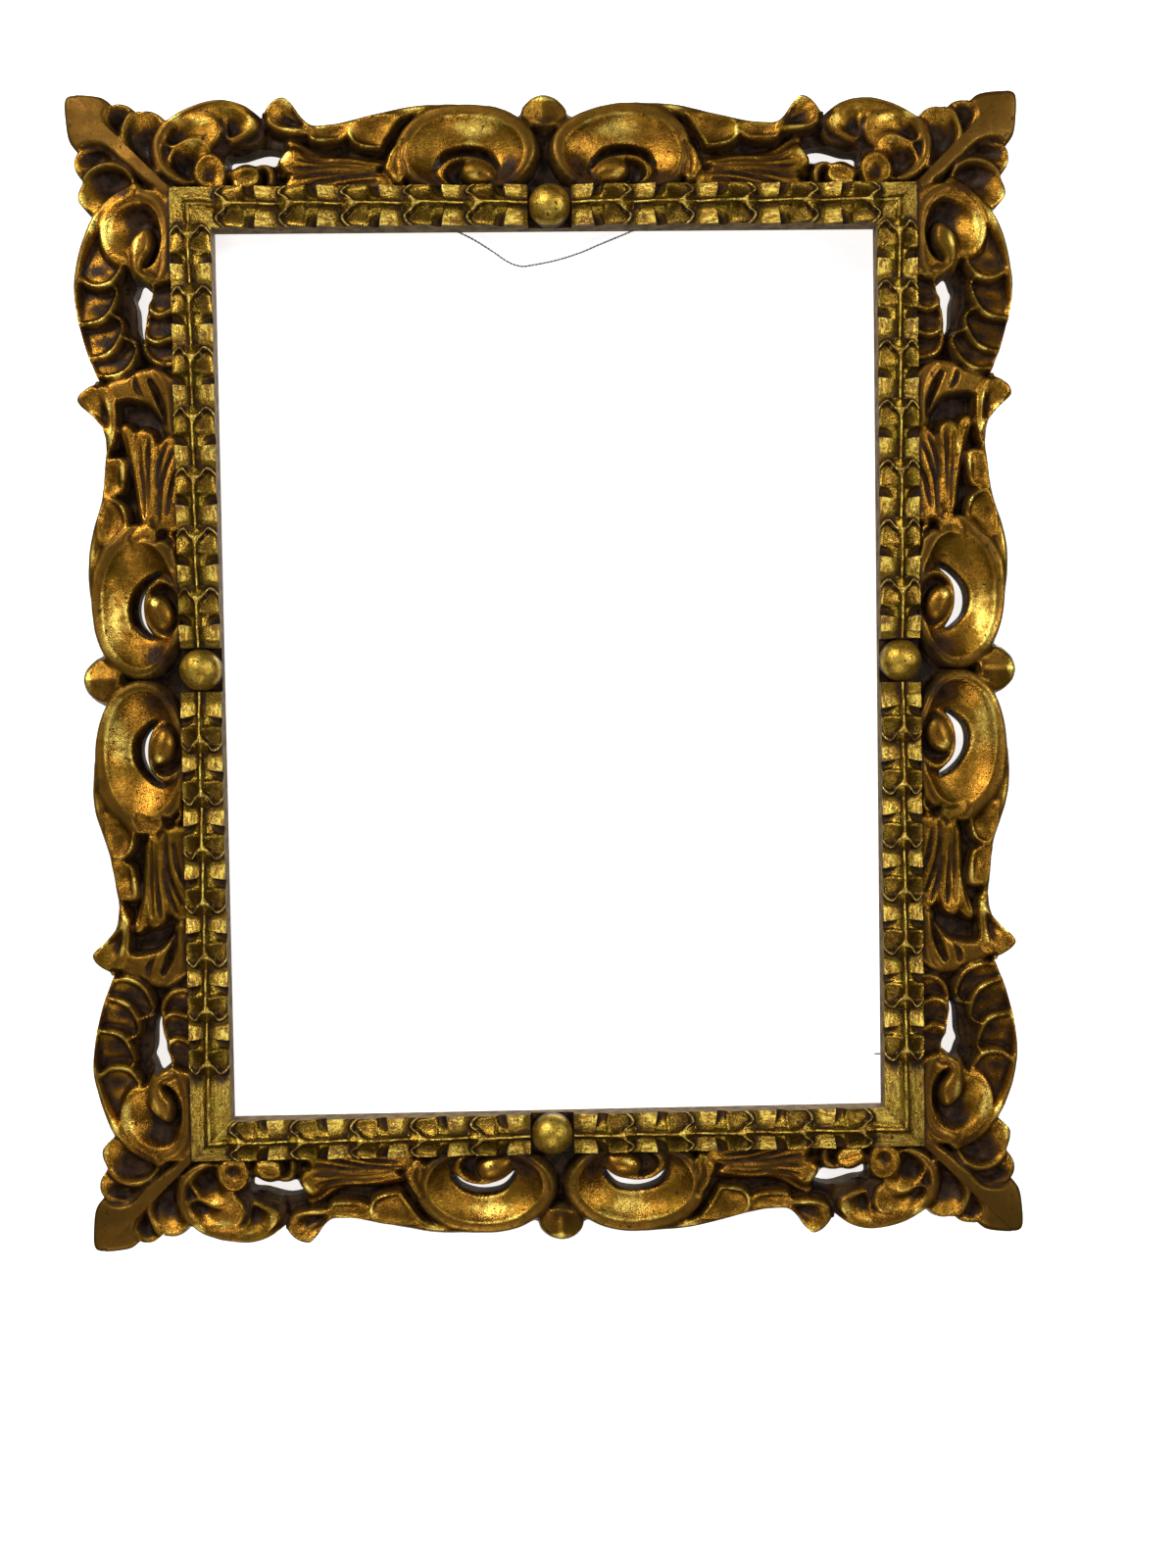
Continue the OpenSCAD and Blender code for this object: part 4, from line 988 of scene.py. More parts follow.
def side_fan(c):
    """Two fluted leaves and a plain one."""
    c.form([(102, 17), (120, 17.5), (140, 15.5), (153, 14.5), (161, 11), (165, 5), (163, -1), (150, -6),
        (102, -6)], pillow(21.8, 3.0, 5))
    flutes(c, ([(104, 13), (126, 12.5), (141, 8.5), (152, 3)],
        [(110, 8), (128, 5), (140, 0)],
        [(128, 14.5), (146, 11.5), (158, 7)]), 1.1, gouged(20.0, 1.4))
    c.form([(108, 27), (125, 29), (145, 32), (158, 35.5), (166, 38.3), (172, 36), (171.5, 30.5),
        (165, 26), (150, 23), (128, 21)], pillow(22.8, 3.0, 4))
    c.form([(104, 25.5), (125, 25.8), (145, 27.5), (158, 28.8), (166.5, 27.3), (169.5, 21.5), (167, 15.5),
        (160, 12.5), (148, 14), (130, 16), (108, 17)], pillow(24.2, 3.4, 5))
    flutes(c, ([(108, 22.5), (126, 23), (144, 24), (159, 23.8)],
        [(110, 19.5), (132, 20), (150, 19), (161, 17.5)],
        [(112, 26.2), (135, 29), (154, 32.2), (164, 34)]), 1.2, gouged(21.6, 1.8))


def side_band(c):
    """The outer band with its two tongues."""
    c.form([(90, 53), (104, 54), (114, 52), (119.5, 48.5), (121, 43), (118, 37.5), (111.5, 34), (104, 33),
        (98.5, 38), (92, 45)], scoop(23.2, 3.2, (106, 43), 12, 4))
    c.stroke([(119.8, 48), (119.8, 42.5), (116.5, 38), (111, 35), (104, 34)], [0.7, 1.5, 1.7, 1.5, 0.6],
        rolled(24.8, 1.0))
    c.form([(121, 50.5), (130, 50), (140, 49.5), (148.5, 48), (149.5, 40), (147.5, 33), (138, 32),
        (129, 34), (122.5, 38)], scoop(23.0, 2.8, (131, 43), 9, 4))
    c.stroke([(129, 36), (138, 34.8), (146.5, 35.4), (148.2, 41)], [0.8, 2.2, 2.2, 1.0], rolled(24.4, 1.2))


def side_calyx(c):
    """The calyx above the fan, with the dark hollow that the leaves reach into."""
    c.form([(186, 44), (183, 34), (184, 25), (181, 17), (174, 11), (165, 8), (163, 0), (175, -5),
        (216, -5), (213, 6), (209, 13), (208, 22), (206, 29), (202, 36), (198, 46)], pillow(23.4, 2.8, 6),
        0.15, 0.6)
    c.stroke([(170, 7.5), (180, 9), (190, 12.5), (199, 17)], [0.7, 1.9, 2.1, 0.7], gouged(21.0, 4.2),
        stain_and_shade=1.0)
    c.stroke([(187, 22), (194, 26), (201, 27)], [0.4, 1.4, 0.5], gouged(22.0, 2.0), stain_and_shade=0.6)
    c.stroke([(165, 3.5), (178, 3.5), (190, 4.5), (200, 8.5), (205.5, 14)], [1.5, 2.5, 3.2, 3.2, 1.6],
        rolled(24.2, 1.4))
    c.form([(175, 38), (173, 31), (170, 22), (166.5, 13.5), (170, 9), (177, 13.5), (183, 20.5), (185, 29),
        (185, 36), (181, 39.5)], pillow(11.5, 0, 1), stain_and_shade=1.1)
    c.form([(153, 48), (154, 41.5), (161, 38.8), (170, 38.6), (176, 41), (174, 48), (164, 51)],
        pillow(22, 2.4, 4))
    c.form([(158, 41), (166, 49), (173, 56.5), (179, 63.5), (184, 66.5), (190.5, 64), (196, 57),
        (198.5, 50), (194, 43.5), (186, 39), (176, 38), (168, 38.5)], scoop(24.6, 6.0, (176, 48), 8, 5))
    c.touch((180, 46.5), (7, 3), 0.8)
    c.stroke([(160, 43), (170, 42.6), (179, 43.4), (188, 45.6), (194, 49.5)], [1.8, 2.2, 2.2, 2.0, 1.0],
        rolled(24.4, 1.2))
    c.stroke([(172, 50), (177, 56), (182, 62)], [0.5, 0.9, 0.5], rolled(24.2, 0.8))


def side_scales(c):
    """Overlapping scales of the corner scroll, under their outer rim."""
    c.form([(199, 44), (204, 28), (222, 24), (236, 33), (262, 37), (276, 33), (312, 46), (316, 52),
        (290, 62), (255, 68), (215, 60), (196, 52)], pillow(17, 1, 2), stain_and_shade=0.9)
    scroll_scale(c, 201, 9,
        [(200.5, 48), (200.5, 40), (202.5, 34), (206.5, 28.6), (213, 25), (220, 23), (227, 26), (229, 34),
        (225, 46), (220, 58), (206, 56)],
        [(201, 46), (201.6, 39.5), (203.8, 34), (208, 29.2), (214, 25.8), (220.5, 24.2)])
    scroll_scale(c, 214, 9,
        [(212.5, 57), (213.5, 48), (216, 41.5), (220.5, 36.6), (228, 33.4), (236, 32.4), (242, 36),
        (243, 46), (240, 62), (224, 62)],
        [(213.4, 54), (214.6, 47.5), (217.4, 41.8), (222, 37.4), (229, 34.4), (236, 33.6)])
    scroll_scale(c, 236, 9,
        [(235.5, 62), (235.5, 53), (238, 46), (243, 41), (250, 37.8), (258, 36.4), (264, 40), (266, 50),
        (264, 66), (248, 66)],
        [(236.4, 60), (236.6, 52.5), (239.2, 46), (244, 41.8), (250.5, 38.8), (257, 37.6)])
    scroll_scale(c, 261, 7,
        [(268, 64), (262, 56), (260, 48), (262, 41), (267, 35.6), (275, 32), (282, 34), (292, 45),
        (309, 48), (300, 55), (284, 63)],
        [(268, 61), (262.8, 55.5), (261.2, 48.4), (263.2, 41.6), (268, 36.8), (275, 33.4)])
    c.stroke([(198, 50.5), (210, 55.5), (224, 60.5), (240, 64), (258, 65), (275, 62.5), (290, 57.5),
        (304, 51), (315.5, 42.5), (323, 32.5), (326, 22)],
        [1.8, 2.2, 2.2, 2.4, 2.6, 2.8, 3.2, 3.8, 4.3, 4.6, 3.6], rolled(25.2, 1.6))


def side_leaf(c):
    """The small scaled leaf beside the moulding."""
    c.form([(204, -5), (206, 8), (210.5, 15.5), (218, 20), (230, 21), (242, 20), (252, 17.5), (261, 14.5),
        (266, 8), (268, -5)], pillow(19, 2, 2.5), stain_and_shade=0.8)
    leaf_scale(c, 209,
        [(210, -5), (208, 6), (210.5, 13), (216, 17.6), (223, 19.6), (229, 18.5), (231, 8), (229, -5)],
        [(210, 0), (209, 6.5), (211.6, 12.6), (216.6, 16.8), (222.5, 18.6)])
    leaf_scale(c, 225,
        [(229, -5), (224.6, 5), (223.4, 11), (226.6, 16.8), (233, 19.8), (240, 19), (246, 14), (247, 4),
        (245, -5)], [(229.4, 0), (225.8, 5.6), (224.6, 11.2), (227.8, 16.2), (233.4, 18.6)])
    leaf_scale(c, 243,
        [(247, -5), (242, 4), (241.4, 10), (245.4, 15.4), (252, 17.2), (258, 15.2), (264, 10), (264, -5)],
        [(247.4, 0), (243.2, 5), (242.6, 10.2), (246.4, 14.6), (252, 16.2)])


def side_bowl(c):
    """The corner bowl inside the rim, which rolls under it into the eye."""
    c.form([(262, 10), (261, 19), (266, 26.5), (273.5, 30), (275, 38.5), (282, 45.5), (293, 48.5),
        (304, 47), (314, 42), (321, 34), (326, 24), (326, 12), (321, 2), (312, -6), (272, -6), (264, 2)],
        pillow(25.0, 2.4, 3))
    c.form([(275.6, 30), (277.6, 38), (283.5, 43.6), (292, 45.8), (300.5, 44.6), (309, 40.4), (315.6, 33),
        (318.6, 24), (317.4, 15), (310, 8), (297, 5.2), (285.5, 6), (278, 10), (274.6, 18)],
        scoop(25.2, 10.0, (302, 20), 17, 8))
    c.touch((306, 19), (9, 11), 0.95)
    c.stroke([(265, 8), (271, 4.2), (282, 2.6), (295, 2.6), (308, 4.6), (317, 10.5), (321.6, 20)],
        [2.6, 3.4, 3.2, 2.6, 3.0, 3.6, 3.8], rolled(25.4, 1.5))
    c.form([(274, 18), (277.5, 12), (286, 8.2), (296, 7.8), (303, 10.5), (298.5, 15.5), (291, 13.5),
        (283, 14.5), (278, 18.5)], pillow(14.5, 0, 1), stain_and_shade=1.1)
    c.form([(261.5, 13), (262.5, 20), (267, 25.5), (274.5, 28.6), (284, 28.6), (292, 26), (298, 20.8),
        (300, 16), (297, 12.6), (290.5, 11.4), (284, 12.6), (278.5, 16.4), (273, 18), (270.6, 13.5),
        (267, 9)], pillow(26.0, 3.6, 5.5), 0.1, 0.7)


def side_lobes(c):
    """Two gouged lobes beside half of the corner leaf."""
    c.form([(308, 52), (310.5, 59), (316, 62.6), (322.5, 62.6), (330.5, 59.5), (337.5, 53.5), (342, 45),
        (342.5, 36), (338.5, 27.5), (331, 22.5), (326.5, 26), (322.5, 34.5), (317.5, 41.5), (311.5, 47)],
        scoop(24.0, 9.0, (330, 36), 14, 3.5))
    c.touch((327, 38), (9, 13), 1.0)
    c.form([(331, 60.5), (337, 65), (343.5, 66), (350, 63), (353.5, 55.5), (353.5, 46.5), (349.5, 39.5),
        (345, 35), (341.6, 32), (342.6, 42), (340.6, 50), (336, 56.5)],
        scoop(23.4, 8.5, (347, 46), 10, 2.5))
    c.touch((347, 48), (6, 12), 1.0)
    c.stroke([(330, 59), (336.6, 52.5), (340.2, 44.5), (340.4, 36), (337, 28.5), (331, 24.2)],
        [1.0, 2.0, 2.4, 2.5, 2.2, 1.2], rolled(25.0, 1.4))
    corner_leaf(c, [(318, -2), (322.5, 6), (327.5, 14), (333, 21), (339, 27), (343, 32.5), (348, 37),
        (352.5, 42.5), (354.5, 50), (353.5, 57), (350, 62), (353, 72), (410, 90), (400, 60), (330, -10),
        (314, -8)], SIDE_L - END_CARVE_W)


def rail_outline(carving, half):
    """A rail seen from the front: rabbet wall, mitres and carved outer edge, outward from the moulding."""
    points = carving.outer_edge()
    start = half + MOULDING_W
    right = [(s, v) for s, v in points if s <= start + v]
    (s0, v0), (s1, v1) = points[len(right) - 1:len(right) + 1]
    over0, over1 = s0 - v0 - start, s1 - v1 - start
    t = over0 / (over0 - over1)
    right.append((s0 + (s1 - s0) * t, v0 + (v1 - v0) * t))
    inner = LIP_W - MOULDING_W
    right.append((start + inner, inner))
    right = [(s - (MITRE_JOINT if s > start + v - 0.2 else 0.0), v) for s, v in right]
    return [(-s, v) for s, v in right[:0:-1]] + right


def prism(bm, outline, low, high):
    face = bm.faces.new([bm.verts.new((s, MOULDING_W + v, low)) for s, v in outline])
    made = bmesh.ops.extrude_face_region(bm, geom=[face])["geom"]
    bmesh.ops.translate(bm, verts=[g for g in made if isinstance(g, bmesh.types.BMVert)],
                        vec=(0, 0, high - low))


def key_outline(half):
    """The bow-tie pocket across the mitre at the right end of a rail."""
    e, m, h = KEY_HALF_END + KEY_SLACK, KEY_HALF_WAIST + KEY_SLACK, KEY_HALF_LONG + KEY_SLACK
    shape = [(-h, -e), (0, -m), (h, -e), (h, e), (0, m), (-h, e)]
    c, s = math.cos(math.radians(135)), math.sin(math.radians(135))
    return [(half + KEY_OUT + x * c - y * s, KEY_OUT - MOULDING_W + x * s + y * c) for x, y in shape]


def swell(seed, size):
    """A slow seeded wander, so that no two carved repeats are the same."""
    offset = Vector((seed * 17.3, seed * 5.1, seed * 9.7))

    def at(s, v):
        coarse = 12.0
        gs = np.arange(s.min() - coarse, s.max() + 2 * coarse, coarse)
        gv = np.arange(v.min() - coarse, v.max() + 2 * coarse, coarse)
        grid = np.array([[noise.noise(Vector((a / 34, b / 34, 0)) + offset) for b in gv] for a in gs])
        x, y = (s - gs[0]) / coarse, (v - gv[0]) / coarse
        i, j = x.astype(int), y.astype(int)
        x, y = ease(x - i, 0, 1), ease(y - j, 0, 1)
        return size * ((grid[i, j] * (1 - x) + grid[i + 1, j] * x) * (1 - y)
                       + (grid[i, j + 1] * (1 - x) + grid[i + 1, j + 1] * x) * y)
    return at


def block_mesh(heights, s, out):
    """A closed block under a grid of heights."""
    ns, nv = heights.shape
    S, A = np.meshgrid(s, out, indexing="ij")
    top = np.stack([S, A, heights], -1).reshape(-1, 3)
    under = np.stack([S, A, np.full(S.shape, -1.0)], -1).reshape(-1, 3)
    i, j = np.meshgrid(np.arange(ns - 1), np.arange(nv - 1), indexing="ij")
    a = (i * nv + j).ravel()
    faces = np.stack([a, a + nv, a + nv + 1, a + 1], 1)
    n = ns * nv
    rim = ([i * nv for i in range(ns)] + [(ns - 1) * nv + j for j in range(1, nv)]
           + [i * nv + nv - 1 for i in range(ns - 2, -1, -1)] + [j for j in range(nv - 2, 0, -1)])
    rim = np.array(rim)
    after = np.roll(rim, -1)
    walls = np.stack([rim, rim + n, after + n, after], 1)
    faces = np.vstack([faces, faces[:, ::-1] + n, walls])
    mesh = bpy.data.meshes.new("block")
    mesh.from_pydata(np.vstack([top, under]).tolist(), [], faces.tolist())
    return mesh


def cut(block, keep, remove):
    """The block inside one closed mesh and outside another."""
    target = shown(block, "block")
    tools = [target]
    for operation, bm in (("INTERSECT", keep), ("DIFFERENCE", remove)):
        bmesh.ops.recalc_face_normals(bm, faces=bm.faces)
        tool = piece_from(bm, operation.lower())
        tools.append(tool)
        modifier = target.modifiers.new(operation, "BOOLEAN")
        modifier.operation = operation
        modifier.solver = "MANIFOLD"
        modifier.object = tool
    made = applied(target)
    for tool in tools:
        bpy.data.objects.remove(tool)
    return made


def read_points(mesh):
    flat_list = np.empty(len(mesh.vertices) * 3)
    mesh.vertices.foreach_get("co", flat_list)
    return flat_list.reshape(-1, 3)


def put_field(mesh, name, values):
    mesh.attributes.new(name, "FLOAT", "POINT").data.foreach_set("value", values.astype(np.float32))


def face_vectors(mesh, key):
    flat_list = np.empty(len(mesh.polygons) * 3)
    mesh.polygons.foreach_get(key, flat_list)
    return flat_list.reshape(-1, 3)


def set_in_place(mesh, points, turn, finishes, finish_of, sharp):
    """Moves a mesh from its rail's own lengths to the frame and gives each face one of its finishes."""
    mesh.vertices.foreach_set("co", placed(points, turn).ravel())
    mesh.materials.clear()
    for finish in finishes:
        mesh.materials.append(finish)
    facing, y = [face_vectors(mesh, key)[:, 1] for key in ("normal", "center")]
    mesh.polygons.foreach_set("material_index", finish_of(facing, y).astype(np.int32))
    mesh.shade_smooth()
    mesh.set_sharp_from_angle(angle=math.radians(sharp))


def wood_behind(facing, y):
    """0 for gilt, 1 for bare wood on the back and in the key pockets, 2 for dark clay on steep walls, which
    also stands for painted shade on the carving's steep sides.
    """
    pocket = (np.abs(facing) < 0.1) & (np.abs(y - (BACK_Y - KEY_T / 2) * MM) < 0.4 * MM)
    return np.where((facing > 0.5) | pocket, 1, np.where(np.abs(facing) < 0.22, 2, 0))


def carved_rail(name, carving, slot, turn, seed, finishes):
    """A block under the carving's heights, cut to the rail's outline, with its openings and pockets."""
    sway, lift, rise = swell(seed, 1.6), swell(seed + 40, 1.6), swell(seed + 80, 1.3)

    def on_carving(field, s, v):
        return carving.sample(field, np.abs(s) + sway(s, v), v + lift(s, v))

    n = int(math.ceil((carving.reach + 2) / CARVE_STEP))
    s = np.arange(-n, n + 1) * CARVE_STEP
    v = np.concatenate([[LIP_W - MOULDING_W - 1, -0.4], np.arange(0.0, carving.width + 2, CARVE_STEP)])
    S, V = np.meshgrid(s, v, indexing="ij")
    heights = on_carving(carving.H, S, V) + rise(S, V)
    heights[:, v < 0] = RABBET_D
    half = sight_halves(turn)[0]
    keep, remove = bmesh.new(), bmesh.new()
    prism(keep, rail_outline(carving, half), 0.0, ABOVE_ALL - 2.0)
    for side in (-1, 1):
        for hole in (carving.hole, slot):
            prism(remove, [(side * a, b) for a, b in closed_line(hole, 4)], BELOW_ALL, ABOVE_ALL)
        prism(remove, [(side * a, b) for a, b in key_outline(half)], BELOW_ALL, KEY_T + 0.1)
    mesh = cut(block_mesh(heights, s, v + MOULDING_W), keep, remove)

    points = read_points(mesh)
    along, out = points[:, 0], points[:, 1] - MOULDING_W
    hollow = on_carving(carving.hollow, along, out)
    put_field(mesh, "hollow", np.where(points[:, 2] < KEY_T + 0.5, 1.0, hollow))
    put_field(mesh, "crest", on_carving(carving.crest, along, out))
    put_field(mesh, "calm", on_carving(carving.calm, along, out))
    set_in_place(mesh, points, turn, finishes, wood_behind, 48)
    rail = shown(mesh, name + "_carved")
    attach(rail, "frame")
    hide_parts(name)


# Sight moulding: a ridged strip whose husks repeat along it from the bead to the corners.
# A ring round it has a point at each place of SECTION, outward from the sight edge.
RIDGE_A = MOULDING_W / 2
GAPS = np.array([
    0.0, 0.3, 0.8, 1.5, 2.4, 3.4, 4.4, 5.4, 6.4, 7.4, 8.4, 9.4, 10.3, 11.1, 11.9, 12.7, 13.5])
SECTION = np.concatenate([RIDGE_A - GAPS[:0:-1], RIDGE_A + GAPS])
GAP = np.abs(SECTION - RIDGE_A)
NONE, FULL = np.zeros(len(SECTION)), np.ones(len(SECTION))
EDGE_T = np.where(SECTION < RIDGE_A, SIGHT_T, SHOULDER_T)
PLAIN_TOP = RABBET_D + RIDGE_T - 0.5 + (EDGE_T - RIDGE_T) * (GAP / RIDGE_A)

# A husk's crest bows towards the bead: round the facet at the ridge, then in two ears
FACET_HALF, EAR_GAP = 5.6, 8.2
FACET_BOW = -0.6 + 3.8 * np.sqrt(np.clip(1.0 - (GAP / FACET_HALF) ** 2, 0, 1))
EAR_BOW = -0.6 - 2.6 * ease(GAP, 5.2, EAR_GAP)
CREST_BOW = (np.where(GAP < FACET_HALF, FACET_BOW, EAR_BOW)
             + 4.4 * np.clip((GAP - EAR_GAP) / 5.3, 0, 1) ** 2)
# Length of the facet outside a crest, down to its foot on the next husk's tail
FACET_L = 1.3 + np.clip(CREST_BOW + 3.4, 0, 9) * (GAP < EAR_GAP)
# A husk's own shape is drawn at this length, and ends this far from the next crest
DRAWN_L, FOOT_GAP = 40.0, 7.3


def ridge_line(half):
    """The thin line that stands up along the middle of a husk."""
    return np.exp(-(GAP / half) ** 2.0)


def bump_of(x, low, high, soft):
    """1 between low and high, 0 outside, eased over soft."""
    return ease(x, low - soft, low + soft) * (1.0 - ease(x, high - soft, high + soft))


def husk_ring(along, x, length):
    """A ring at along, in the husk's shape at x inward from its crest: top, hollow and crest. The hollow
    paints shade in the cups and gouges along with their glaze, and the crest paints highlights on the ridge
    and the flats that fade towards the foot.
    """
    k = length / DRAWN_L
    ears = bump_of(GAP, 5.5, 9.5, 1.0)
    cup = np.clip(1.0 - ((GAP - 6.6) / np.where(GAP < 6.6, 5.6, 6.6)) ** 2, 0, 1) ** 0.55
    drop = ease(x, 0.3 + 0.9 * ears, 3.2) * (1.0 - 0.62 * ease(x, 3.0, 14.5 * k))
    height = 0.5 - 3.4 * cup * drop
    bite = np.clip(1.0 - (np.minimum(x / k - 20.7, 0) / 6.6) ** 2 - ((GAP - 13.5) / 9.0) ** 2, 0, 1) ** 0.6
    gouge = bite * (1.0 - ease(x, 20.5 * k, 21.3 * k))
    height = height - 3.6 * gouge
    tail = ease(x, 13.0 * k, 16.5 * k)
    flats = ease(x, 20.4 * k, 21.2 * k)
    share = np.clip((x - 21.0 * k) / (length - 7.2 - 21.0 * k), 0, 1)
    foot = ease(share, 0.8, 1.0)
    low = -0.9 - 2.3 * share - 1.5 * ease(GAP, 0.9, 2.6) + 0.24 * GAP
    height = height * (1 - tail) + tail * (low - 1.6 * (1 - flats) * ease(GAP, 1.0, 3.0) - 3.0 * gouge)
    fork = 1.0 - ease(x, 0.0, 6.5 * k)
    bar = np.exp(-(GAP / (0.75 + 1.7 * fork)) ** 4)
    height = height + bar * (0.5 + 0.7 * tail)
    hollow = 0.95 * gouge + 0.42 * cup * bump_of(x, 0.4, 3.2, 0.8) + 0.42 * cup * (1 - tail)
    hollow = hollow + 0.55 * flats * bump_of(GAP, 1.0, 4.0, 1.2) + 0.3 * foot
    crest = 0.9 * bar + 0.85 * flats * ease(GAP, 1.0, 12.0) * (1 - 0.8 * foot)
    crest = crest + 0.9 * (1 - ease(x, 0.5, 1.5 + 1.5 * ears))
    # Painted highlight: the ridge line takes polished gold.
    return along, PLAIN_TOP + height, np.where(bar > 0.3, -0.6, hollow), crest


def end_rows(place, length):
    """Rings down the facet outside a husk's crest, to its foot on the next husk's tail."""
    crest_top = husk_ring(0, 0.0, length)[1] - PLAIN_TOP
    foot_top = husk_ring(0, length - FOOT_GAP, length)[1] - PLAIN_TOP
    middle = np.clip(1.0 - (GAP / 5.4) ** 2, 0, 1)
    rows = []
    for u in (((0.0, 0.05, 0.14, 0.3, 0.5, 0.7, 0.86, 0.95, 1.0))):
        facet = crest_top - 2.2 * ease(u, -0.25, 0.55) * 0.9
        steep = crest_top + (foot_top - crest_top) * ease(u, 0.0, 0.9)
        height = steep + (facet - steep) * middle * (1 - ease(u, 0.72, 1.0))
        # Painted shade down the facet towards its foot, and a painted highlight along the crest.
        hollow = (0.9 - 0.75 * middle) * ease(u, 0.02, 0.5)
        crest = 0.95 * (1 - ease(u, 0.0, 0.2)) * FULL
        rows.append((place - CREST_BOW + FACET_L * u, PLAIN_TOP + height, hollow, crest))
    return rows


def husk_rows(place, length, start):
    """Rings of a husk from a start near its foot to its crest."""
    k = length / DRAWN_L
    steps = k * np.array([
        28.6, 25.5, 23.0, 21.6, 21.2, 20.8, 20.4, 20.0, 19.2, 18.2, 17.2, 16.4, 15.8, 15.2, 14.4, 13.4,
        12.0, 10.4, 8.8, 7.2, 5.8, 4.6, 3.6, 2.8, 2.2, 1.7, 1.2, 0.8, 0.45, 0.2])
    rows = []
    slant = 2.4 * np.clip(1.0 - GAP / 12.0, 0, 1)
    for x in steps:
        if x <= start:
            bend = (1.0 - ease(x, 0.0, 13.5 * k)) * CREST_BOW + bump_of(x, 18.0 * k, 23.8 * k, 1.9) * slant
            rows.append(husk_ring(place - x - bend, x, length))
    return rows + [husk_ring(place - CREST_BOW, 0.0, length)]


def foot_rows(place, length):
    """Rings from the foot of the next husk's facet to where a husk's own rings start."""
    foot = place - length - CREST_BOW + FACET_L
    near = place - 30.5 * length / DRAWN_L
    rows = []
    for u in (((0.0, 0.15, 0.4, 0.7, 1.0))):
        along = foot + (near - foot) * u
        x = np.clip(place - along, 0.0, length - FOOT_GAP)
        _, top, hollow, crest = husk_ring(along, x, length)
        shade = 0.8 * (1 - ease(u, 0.0, 0.25)) * ease(GAP, 1.0, 5.0)
        rows.append((along, top, hollow + shade, crest * (1 - shade)))
    return rows


def corner_rows(foot, corner):
    """Rings from the last facet's foot to the mitre, over a plain tail with a thin ridge."""
    along, low, hollow, _ = foot
    flat = bump_of(GAP, 1.0, 4.0, 1.2)
    rows = []
    for u in (0.08, 0.2, 0.35, 0.6, 0.8, 1.0):
        # The crest gives the tail's thin ridge a painted highlight.
        top = low + (PLAIN_TOP - 1.0 - low) * ease(u, 0.0, 0.6) + 0.8 * ridge_line(0.9)
        rows.append((along + (corner - along) * u, top,
                     hollow * (1 - ease(u, 0.0, 0.3)) + 0.5 * ease(u, 0.9, 1.0),
                     0.42 - 0.3 * flat + 0.5 * ridge_line(0.8)))
    return rows


def repeat_tree():
    """Copies of a husk in a row, welded where they meet."""
    tree, n, given = node_group("husks_in_a_row", (("Husks", "Int"), ("Husk length", "Float")))
    step = n.make("ShaderNodeCombineXYZ", X=given["Husk length"])
    places = n.make("GeometryNodeMeshLine", Count=given["Husks"], Offset=step)
    copies = n.make("GeometryNodeInstanceOnPoints", Points=places, Instance=given["Geometry"])
    real = n.make("GeometryNodeRealizeInstances", Geometry=copies)
    welded = n.make("GeometryNodeMergeByDistance", Geometry=real, Distance=0.01)
    close_group(n, welded, given["Material"])
    return tree


def tube(rows):
    """An open tube through rings, each closed over the strip's top and then under its back."""
    back = [(MOULDING_W, RABBET_D), (LIP_W, RABBET_D), (LIP_W, RABBET_D + 0.3), (0.0, RABBET_D + 0.3)]
    points, hollows, crests = [], [], []
    for along, top, hollow, crest in rows:
        ends = (along[-1], along[-1], along[0], along[0])
        points += [*zip(along, SECTION, top)] + [(s, a, t) for s, (a, t) in zip(ends, back)]
        hollows += [*hollow] + [1.0] * 4
        crests += [*crest] + [0.0] * 4
    m = len(SECTION) + 4
    faces = [(k * m + i, k * m + (i + 1) % m, (k + 1) * m + (i + 1) % m, (k + 1) * m + i)
             for k in range(len(rows) - 1) for i in range(m)]
    mesh = bpy.data.meshes.new("tube")
    mesh.from_pydata(points, [], faces)
    put_field(mesh, "hollow", np.array(hollows))
    put_field(mesh, "crest", np.array(crests))
    return mesh


def half_strip(bead_at, side, half, first, length, husks, tree, finish):
    """One half of a moulding: parts in a row from the bead's seat to the mitre."""
    seat = FULL * (RABBET_D + BEAD_SEAT_T)
    near_bead = BEAD_R + 0.6
    start = first - near_bead - 0.4
    top = husk_ring(0, start, length)[1] - 0.5
    # The bead's seat takes full glaze, partly painted shade round the bead.
    inner = [(NONE, seat, FULL, NONE), (FULL * near_bead, seat, FULL, NONE),
             (FULL * (near_bead + 0.1), top, FULL * 0.8, NONE)]
    for x in np.linspace(start, 29.4 * length / DRAWN_L, 6):
        inner.append(husk_ring(FULL * (first - x), x, length))
    inner += husk_rows(first, length, start)
    after = first + length
    module = end_rows(first, length) + foot_rows(after, length)[1:] + husk_rows(after, length, length)
    outer = end_rows(first + length * (husks - 1), length)
    outer += corner_rows(outer[-1], half + SECTION - side * bead_at - MITRE_GLUE)
    row = grown(tube(module), tree, Husks=husks - 1, Husk_length=length, Material=finish)
    bm = bmesh.new()
    for mesh in (row, tube(inner), tube(outer)):
        bm.from_mesh(mesh)
    for vert in bm.verts:
        vert.co.x = bead_at + side * vert.co.x
    return bm


